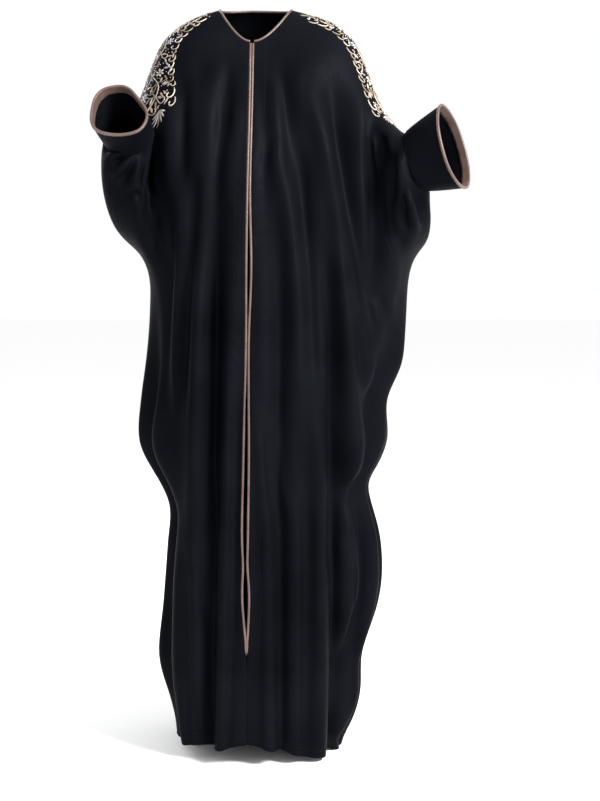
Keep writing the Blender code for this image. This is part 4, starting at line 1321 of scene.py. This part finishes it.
def draw_border(work):
    """Scrolls side by side along both edges of the band, each springing from the edge and curling in."""
    length, first_turn, last_turn = BORDER_SCROLL
    springs = np.arange(BORDER_FROM, BAND_ROUNDED_FROM + BORDER_PAST, BORDER_SPACING)
    for edge in (1, -1):
        for number, along in enumerate(springs):
            start = (along, edge * (BAND_HALF_WIDTH - BORDER_IN - BORDER_STAGGER * (number % 2)))
            if work.inside(*start):
                thread = BORDER_THREADS[number % len(BORDER_THREADS)]
                size = BORDER_VARIES[number % len(BORDER_VARIES)]
                turns = (-edge * first_turn / size, -edge * last_turn / size)
                work.scroll(start, edge * BORDER_LEAN / size, length * size, *turns, thread, BORDER_WIDTH)


def draw_stems(work):
    """The stems along the band, with scrolls that spring from them on both sides."""
    for lane, (across, swing, period, shift, thread) in enumerate(STEMS):
        along = np.arange(STEM_FROM, BAND_LENGTH - STEM_ENDS_SHORT, CORD_STEP)
        phase = 2 * np.pi * (along / period + shift)
        path = np.stack([along, across + swing * np.sin(phase)], axis=1)
        headings = np.degrees(np.arctan2(np.gradient(path[:, 1]), np.gradient(path[:, 0])))
        keep = work.inside(path[:, 0], path[:, 1])
        path, headings, phase = path[keep], headings[keep], phase[keep]
        work.cord(path, headings, thread, CORD_WIDTH)
        springs = range(FIRST_SPRING, len(path) - LAST_SPRING, round(period / 4 / CORD_STEP))
        for number, index in enumerate(springs):
            bend_way = 1 if np.sin(phase[index]) < 0 else -1
            for lean, length, tight in SCROLLS:
                way = bend_way if lean > 0 else -bend_way
                colour = SCROLL_THREADS[(number + lane) % len(SCROLL_THREADS)]
                heading = headings[index] + way * abs(lean)
                turns = (way * SCROLL_FIRST_TURN, way * tight)
                work.scroll(path[index], heading, length, *turns, colour, SCROLL_WIDTH)


def draw_leaves(work):
    """Leaves along every cord, the largest first, wherever one still fits. Gives how many there are."""
    count = 0
    for length, width in LEAF_SIZES:
        for path, headings in list(work.lines):
            for index in range(LEAF_EVERY, len(path) - 1, LEAF_EVERY):
                for way in (1, -1):
                    lean = LEAF_LEANS[(index // LEAF_EVERY + count) % len(LEAF_LEANS)]
                    heading = headings[index] + way * lean
                    spots = leaf_spots(path[index], heading, length, width)
                    if work.inside(*spots).all() and work.is_free(*spots):
                        work.leaf(path[index], heading, length, width, thread_for(count))
                        work.take(*spots, CLEARANCE)
                        count += 1
    return count


def draw_buds(work, count):
    """Small knots in the gaps that are left. The threads go on in turn from the leaves' count."""
    turns = np.arange(0, 2 * np.pi, BUD_RING_STEP)
    ring = np.stack([np.cos(turns), np.sin(turns)]) * BUD_RADIUS * BUD_ROOM
    for row, along in enumerate(np.arange(BUD_FROM, BAND_LENGTH, BUD_SPACING / 2)):
        for number, across in enumerate(np.arange(-BAND_HALF_WIDTH, BAND_HALF_WIDTH, BUD_SPACING)):
            stray = BUD_STRAYS * BUD_SPACING * math.sin(row * BUD_ROW_TURN + number * BUD_NUMBER_TURN)
            middle = (along + stray / 2, across + stray)
            room = along < BAND_ROUNDED_FROM and work.inside(*middle)
            if room and work.is_free(middle[0] + ring[0], middle[1] + ring[1]):
                size = BUD_LEAST + BUD_VARIES * math.sin(row + number)
                work.bud(middle, BUD_RADIUS * size, thread_for(count))
                work.take(np.array([middle[0]]), np.array([middle[1]]), BUD_RADIUS + 2 * CLEARANCE)
                count += 1


def draw_band(side):
    """One whole band, flat: flowers and sprays, the border, stems and scrolls, then leaves and buds."""
    work = Band(side)
    for row in FLOWERS:
        work.flower(*row)
    for row in SPRAYS:
        work.spray(*row)
    draw_border(work)
    draw_stems(work)
    draw_buds(work, draw_leaves(work))
    return work.parts


def embroidery_thread(name, colour):
    """Rayon thread laid side by side: a fine ribbing across the stitch, with a bright soft gloss."""
    made, shader, add = new_material(name)
    place = add("ShaderNodeUVMap").outputs["UV"]
    ribs = add(
        "ShaderNodeTexWave", Vector=place, Scale=THREAD_RIBS, Distortion=0.6, Detail=1.0
    ).outputs["Fac"]
    bump = add("ShaderNodeBump", Height=ribs, Strength=0.35, Distance=0.0002)
    link(made, bump.outputs["Normal"], shader.inputs["Normal"])
    shader.inputs["Base Color"].default_value = (*colour, 1.0)
    shader.inputs["Roughness"].default_value = 0.36
    shader.inputs["Metallic"].default_value = 0.25
    shader.inputs["Sheen Weight"].default_value = 0.10
    return made


embroidery_threads = [embroidery_thread(name, colour) for name, colour, _ in THREADS]
for side in ("left", "right"):
    chart = shoulder_chart(side)
    placed = []
    threads = []
    for along, across, height, faces, grain, thread in draw_band(side):
        lifted = height + CLOTH_THICKNESS / 2 + EMBROIDERY_LIFT
        chart_along, chart_across = band_on_chart(side, along, across)
        points = on_chart(chart, chart_along, chart_across, lifted)
        corners = points[faces]
        facing = np.cross(corners[:, 2] - corners[:, 0], corners[:, 3] - corners[:, 1]).sum(axis=0)
        normal = on_chart(chart, chart_along, chart_across, lifted + 1.0) - points
        if facing @ normal.mean(axis=0) < 0:
            faces, grain = faces[:, ::-1], grain[:, ::-1]
        placed.append((points, faces, grain))
        threads += [thread] * len(faces)
    band = add_piece(side + "_shoulder_embroidery", *joined(placed), embroidery_threads[0])
    for extra in embroidery_threads[1:]:
        band.data.materials.append(extra)
    band.data.polygons.foreach_set("material_index", threads)

# Cuffs: a band of the same crepe, doubled, sewn round each sleeve's end and flared outward. Its seam is
# pressed flat, a row of topstitch runs beside each of its edges, and it stands a little out of round
# because nothing stiffens it.
CUFF_THICKNESS = 0.0018
CUFF_POINTS = 144
CUFF_STEPS = 22
CUFF_START = 0.012
CUFF_STITCH_OFF_SEAM = 0.0030
CUFF_STITCH_OFF_RIM = 0.0052
CUFF_GIRTH = 0.34
SEAM_PRESS = 0.0006
SEAM_PRESS_RUN = 0.05
# How each rim stands out of round: at a share of a turn from the top by the front, over a half width in
# turns, by so much outward. The top of a cuff may also lean towards its front or back.
CUFF_SWELL_COLUMNS = ("turn", "half_width", "swell")
CUFF_SWELLS = {
    "right": ((0.86, 0.075, 0.009), (0.16, 0.080, -0.005), (0.62, 0.060, 0.003), (0.40, 0.050, 0.002)),
    "left": ((0.10, 0.060, -0.003), (0.34, 0.070, 0.003), (0.62, 0.060, -0.002), (0.84, 0.060, 0.002)),
}
CUFF_LEANS = {"right": -0.011, "left": 0.0}


def cuff_line(side, share, shares, offset=0.0):
    """A fine ring of the cuff, out of round towards the rim, moved outward by an offset."""
    shares = np.asarray(shares)
    ring = cuff_ring(side, share, shares)
    centre = ring.mean(axis=0)
    swell = np.zeros(len(shares))
    for row in CUFF_SWELLS[side]:
        bulge = dict(zip(CUFF_SWELL_COLUMNS, row))
        apart = np.abs((shares - bulge["turn"] + 0.5) % 1 - 0.5)
        swell += bulge["swell"] * np.exp(-((apart / bulge["half_width"]) ** 2))
    lean = CUFF_LEANS[side] * (1 + np.cos(2 * np.pi * shares)) / 2
    ring = ring + unit(ring - centre) * (swell * ease(share))[:, None]
    ring = ring + np.outer(lean * ease(share), cuff_axes(CUFFS[side])[2])
    return ring + unit(ring - centre) * offset


def turned_outward(points, faces, grain):
    """The same faces, turned over if they enclose less than nothing."""
    corners = points[faces]
    volume = np.einsum("ij,ij->", corners[:, 0], np.cross(corners[:, 1], corners[:, 2]))
    volume += np.einsum("ij,ij->", corners[:, 0], np.cross(corners[:, 2], corners[:, 3]))
    if volume < 0:
        return points, faces[:, ::-1], grain[:, ::-1]
    return points, faces, grain


def ring_grain(faces, points_a_ring, width, height):
    """A weave grid for ring faces: round the ring across, and from ring to ring along."""
    ring, step = faces[:, 0] // points_a_ring, faces[:, 0] % points_a_ring
    left, right = step * width / points_a_ring, (step + 1) * width / points_a_ring
    low, high = ring * height, (ring + 1) * height
    corners = ((left, low), (right, low), (right, high), (left, high))
    return np.stack([np.stack(corner, axis=1) for corner in corners], axis=1)


def closed_rings(rings, width, height):
    """A closed body from rings where the last joins the first, with its grain."""
    points = np.concatenate(rings)
    faces = ring_faces(len(rings), len(rings[0]), True)
    return turned_outward(points, faces, ring_grain(faces, len(rings[0]), width, height))


cuff_shares = np.arange(CUFF_POINTS) / CUFF_POINTS
for side in ("left", "right"):
    outer = []
    inner = []
    for share in np.linspace(CUFF_START, 1, CUFF_STEPS):
        pressed = SEAM_PRESS * math.exp(-(((share - CUFF_START) / SEAM_PRESS_RUN) ** 2))
        outer.append(cuff_line(side, share, cuff_shares, CUFF_THICKNESS / 2 - pressed))
        inner.append(cuff_line(side, share, cuff_shares, -CUFF_THICKNESS / 2))
    cuff_length = CUFFS[side]["length"]
    body = closed_rings(outer + inner[::-1], CUFF_GIRTH, cuff_length / CUFF_STEPS)
    cuff = add_piece(side + "_cuff_band", *body, black_crepe)
    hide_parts(side + "_cuff")
    rows = []
    for share in (CUFF_START + CUFF_STITCH_OFF_SEAM / cuff_length, 1 - CUFF_STITCH_OFF_RIM / cuff_length):
        line = cuff_line(side, share, np.append(cuff_shares, 1.0))
        rows.append(stitch_row(line, unit(line - line.mean(axis=0)), CUFF_THICKNESS / 2))
    stitches = add_piece(side + "_cuff_topstitch", *joined(rows), black_thread)

# Cuff bindings: a bias strip of dusty rose satin folded over each cuff's rim, narrow outside and turned
# in wide on the inside, where it faces the cuff.
BINDING_THICKNESS = 0.0012
BINDING_OUTSIDE = 0.0034
BINDING_INSIDE = 0.014
BINDING_CLEAR = 0.0003
BINDING_GIRTH = 0.36
BINDING_RING_STEP = 0.002
# How far its outer edge is rounded off, where it is fullest and by how much, and its fold at the rim.
BINDING_ROUNDED_IN = 0.0003
BINDING_ROUNDED_ALONG = 0.0006
BINDING_FULLEST_AT = 0.002
BINDING_FULLNESS = 0.0002
BINDING_FOLD_ANGLE = 80
BINDING_FOLD_STEPS = 9
BINDING_INSIDE_STEPS = 5
# The satin's two tones with the factors where they are reached, and its floats, cut on the bias.
SATIN_TONES = ((0.30, (0.066, 0.040, 0.033)), (0.70, (0.104, 0.066, 0.055)))
SATIN_TONE_SCALE = 38.0
SATIN_FLOATS = 260.0
SATIN_BIAS = 45
SATIN_SHEEN = (1.0, 0.82, 0.76, 1.0)


def satin_finish():
    """Dusty rose satin cut on the bias: fine slanting floats with a soft, warm gloss."""
    made, shader, add = new_material("rose satin")
    grid_place = add("ShaderNodeUVMap").outputs["UV"]
    bias = (0.0, 0.0, math.radians(SATIN_BIAS))
    slanted = add("ShaderNodeMapping", Vector=grid_place, Rotation=bias).outputs["Vector"]
    floats = add(
        "ShaderNodeTexWave", Vector=slanted, Scale=SATIN_FLOATS, Distortion=1.2, Detail=2.0
    ).outputs["Fac"]
    place = add("ShaderNodeTexCoord").outputs["Object"]
    tone = add(
        "ShaderNodeTexNoise", Vector=place, Scale=SATIN_TONE_SCALE, Detail=3.0
    ).outputs["Fac"]
    link(made, two_tones(add, tone, SATIN_TONES), shader.inputs["Base Color"])
    bump = add("ShaderNodeBump", Height=floats, Strength=0.30, Distance=0.0003)
    link(made, bump.outputs["Normal"], shader.inputs["Normal"])
    shader.inputs["Roughness"].default_value = 0.36
    shader.inputs["Sheen Weight"].default_value = 0.10
    shader.inputs["Sheen Roughness"].default_value = 0.35
    shader.inputs["Sheen Tint"].default_value = SATIN_SHEEN
    return made


rose_satin = satin_finish()


def binding_section(length):
    """The strip's section as (share along the cuff, offset from its middle), round where it folds."""
    clear = CUFF_THICKNESS / 2 + BINDING_CLEAR
    far = clear + BINDING_THICKNESS
    outside = 1 - BINDING_OUTSIDE / length
    inside = 1 - BINDING_INSIDE / length
    rim = 1 + BINDING_CLEAR / length
    section = [(outside, clear), (outside, far - BINDING_ROUNDED_IN)]
    section += [(outside + BINDING_ROUNDED_ALONG / length, far)]
    section += [(1 - BINDING_FULLEST_AT / length, far + BINDING_FULLNESS)]
    for angle in np.linspace(BINDING_FOLD_ANGLE, -BINDING_FOLD_ANGLE, BINDING_FOLD_STEPS):
        turn = math.radians(angle)
        section.append((rim + BINDING_THICKNESS * math.cos(turn) / length, far * math.sin(turn)))
    section += [(share, -far) for share in np.linspace(1, inside, BINDING_INSIDE_STEPS)]
    section += [(inside, -clear), (rim, -clear), (rim, clear)]
    return section


for side in ("left", "right"):
    section = binding_section(CUFFS[side]["length"])
    rings = [cuff_line(side, share, cuff_shares, offset) for share, offset in section]
    body = closed_rings(rings, BINDING_GIRTH, BINDING_RING_STEP)
    binding = add_piece(side + "_cuff_rose_binding", *body, rose_satin)
    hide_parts(side + "_cuff_binding")

# Edge piping: a cord covered in the rose satin, caught in the seam of each front edge from the neck down
# to the hem.
PIPING_RADIUS = 0.0022
PIPING_SIDES = 12
PIPING_CLEAR = 0.0003
PIPING_STARTS_BELOW = 0.003
PIPING_END_REACH = 0.5
PIPING_END_SIZE = 0.55
# Near the hem the fronts' edges turn under and meet, so the cords lie behind them there: from which
# height, over what run, and how far in from the edge.
TUCKED_FROM = -1.115
TUCKED_OVER = 0.045
TUCKED_IN = 0.0028


def covered_cord(path, towards, radius, sides):
    """A round cord along a path, with its ends closed, as points, faces and grain."""
    run = unit(np.gradient(path, axis=0))
    first = unit(towards - np.sum(towards * run, axis=1)[:, None] * run)
    second = np.cross(run, first)
    angle = 2 * np.pi * (np.arange(sides) + 0.5) / sides
    ends = np.concatenate([[path[0]], path, [path[-1]]])
    ends[0] -= run[0] * radius * PIPING_END_REACH
    ends[-1] += run[-1] * radius * PIPING_END_REACH
    size = np.full(len(ends), float(radius))
    size[[0, -1]] *= PIPING_END_SIZE
    first, second = [np.concatenate([[way[0]], way, [way[-1]]]) for way in (first, second)]
    rings = (
        ends[:, None]
        + (size[:, None] * np.cos(angle))[..., None] * first[:, None]
        + (size[:, None] * np.sin(angle))[..., None] * second[:, None]
    )
    points = rings.reshape(-1, 3)
    faces = ring_faces(len(ends), sides, False)
    half = sides // 2
    last = (len(ends) - 1) * sides
    caps = []
    for step in range(half - 1):
        quad = [step, step + 1, sides - 2 - step, sides - 1 - step]
        caps.append(quad[::-1])
        caps.append([last + corner for corner in quad])
    faces = np.concatenate([faces, np.array(caps)])
    spacing = float(np.mean(np.linalg.norm(np.diff(path, axis=0), axis=1)))
    grain = ring_grain(faces, sides, 2 * math.pi * radius, spacing)
    return turned_outward(points, faces, grain)


for side, edge, inward in (("left", left_edge, 1), ("right", right_edge, -1)):
    line = cloth_points[edge]
    normals = cloth_normals[edge]
    run = unit(np.gradient(line, axis=0))
    away = unit(np.cross(run, normals))
    away *= np.sign(away[:, 0] * -inward)[:, None]
    tucked = ease(np.clip((TUCKED_FROM - line[:, 2]) / TUCKED_OVER, 0, 1))[:, None]
    beside = away * ((1 - tucked) * (PIPING_RADIUS + PIPING_CLEAR) - tucked * TUCKED_IN)
    path = line + beside - unit(normals) * tucked * (PIPING_RADIUS + PIPING_CLEAR + PLACKET_THICKNESS / 2)
    path[0] += run[0] * PIPING_STARTS_BELOW
    backward = np.tile([0.0, 1.0, 0.0], (len(path), 1))
    body = covered_cord(path, backward, PIPING_RADIUS, PIPING_SIDES)
    piping = add_piece(side + "_edge_rose_piping", *body, rose_satin)
    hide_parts(side + "_edge_piping")

# Neck binding: the same cord covered in rose satin, caught in the seam round the plain round neck from
# one front edge round the back to the other.
neck = line_round(0.0)
neck_line = cloth_points[neck]
neck_run = unit(np.gradient(neck_line, axis=0))
neck_away = unit(np.cross(neck_run, cloth_normals[neck]))
neck_away *= np.sign(neck_away[:, 2])[:, None]
neck_path = neck_line + neck_away * (PIPING_RADIUS + PIPING_CLEAR)
neck_cord = covered_cord(neck_path, neck_path - neck_path.mean(axis=0), PIPING_RADIUS, PIPING_SIDES)
neck_binding = add_piece("neck_rose_binding", *neck_cord, rose_satin)
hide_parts("neck_binding")

# Room: a plain pale floor just under the hem, a white room with a raking key light, a weak fill and a
# back light, and the camera at the photo's angle.
FLOOR_Z = -1.3485
FLOOR_HALF = 30.0
FLOOR_COLOUR = (0.97, 0.97, 0.97, 1.0)
CAMERA_PLACE = (0.095, -3.0, -0.45)
CAMERA_AIM = (0.095, 0.0, -0.686)
CAMERA_LENS = 70.8
# Each light's name, place, the place it is turned towards, size, watts and colour.
LIGHTS = (
    ("key", (2.2, -1.9, 1.3), (0.05, 0.0, -0.4), 1.3, 300.0, (1.0, 0.98, 0.95)),
    ("fill", (-1.6, -3.2, 0.2), (0.0, 0.0, -0.7), 2.2, 10.0, (0.92, 0.95, 1.0)),
    ("back", (-2.2, 3.2, 1.0), (0.0, 0.1, -0.6), 2.0, 60.0, (0.96, 0.97, 1.0)),
)


def plain_floor():
    """A wide matt floor, which isn't part of the cloak."""
    mesh = bpy.data.meshes.new("floor")
    corners = ((-1, -1), (1, -1), (1, 1), (-1, 1))
    mesh.from_pydata([(x * FLOOR_HALF, y * FLOOR_HALF, FLOOR_Z) for x, y in corners], [], [(0, 1, 2, 3)])
    made, shader, _ = new_material("pale floor")
    shader.inputs["Base Color"].default_value = FLOOR_COLOUR
    shader.inputs["Roughness"].default_value = 0.9
    mesh.materials.append(made)
    floor = bpy.data.objects.new("floor", mesh)
    bpy.context.scene.collection.objects.link(floor)


def soft_light(name, place, aim, size, power, colour):
    """A round area light of a size and power in watts, turned towards a place."""
    lamp = bpy.data.lights.new(name, "AREA")
    lamp.shape = "DISK"
    lamp.size = size
    lamp.energy = power
    lamp.color = colour
    holder = bpy.data.objects.new(name, lamp)
    holder.location = place
    holder.rotation_euler = (Vector(aim) - Vector(place)).to_track_quat("-Z", "Y").to_euler()
    bpy.context.scene.collection.objects.link(holder)


plain_floor()
for light in LIGHTS:
    soft_light(*light)
world = bpy.data.worlds.new("studio")
world.use_nodes = True
world.node_tree.nodes["Background"].inputs["Color"].default_value = (1.0, 1.0, 1.0, 1.0)
world.node_tree.nodes["Background"].inputs["Strength"].default_value = 1.0
bpy.context.scene.world = world
bpy.context.scene.view_settings.view_transform = "Standard"

camera_data = bpy.data.cameras.new("camera")
camera_data.lens = CAMERA_LENS
camera = bpy.data.objects.new("camera", camera_data)
camera.location = CAMERA_PLACE
camera.rotation_euler = (Vector(CAMERA_AIM) - Vector(CAMERA_PLACE)).to_track_quat("-Z", "Y").to_euler()
bpy.context.scene.collection.objects.link(camera)
bpy.context.scene.camera = camera
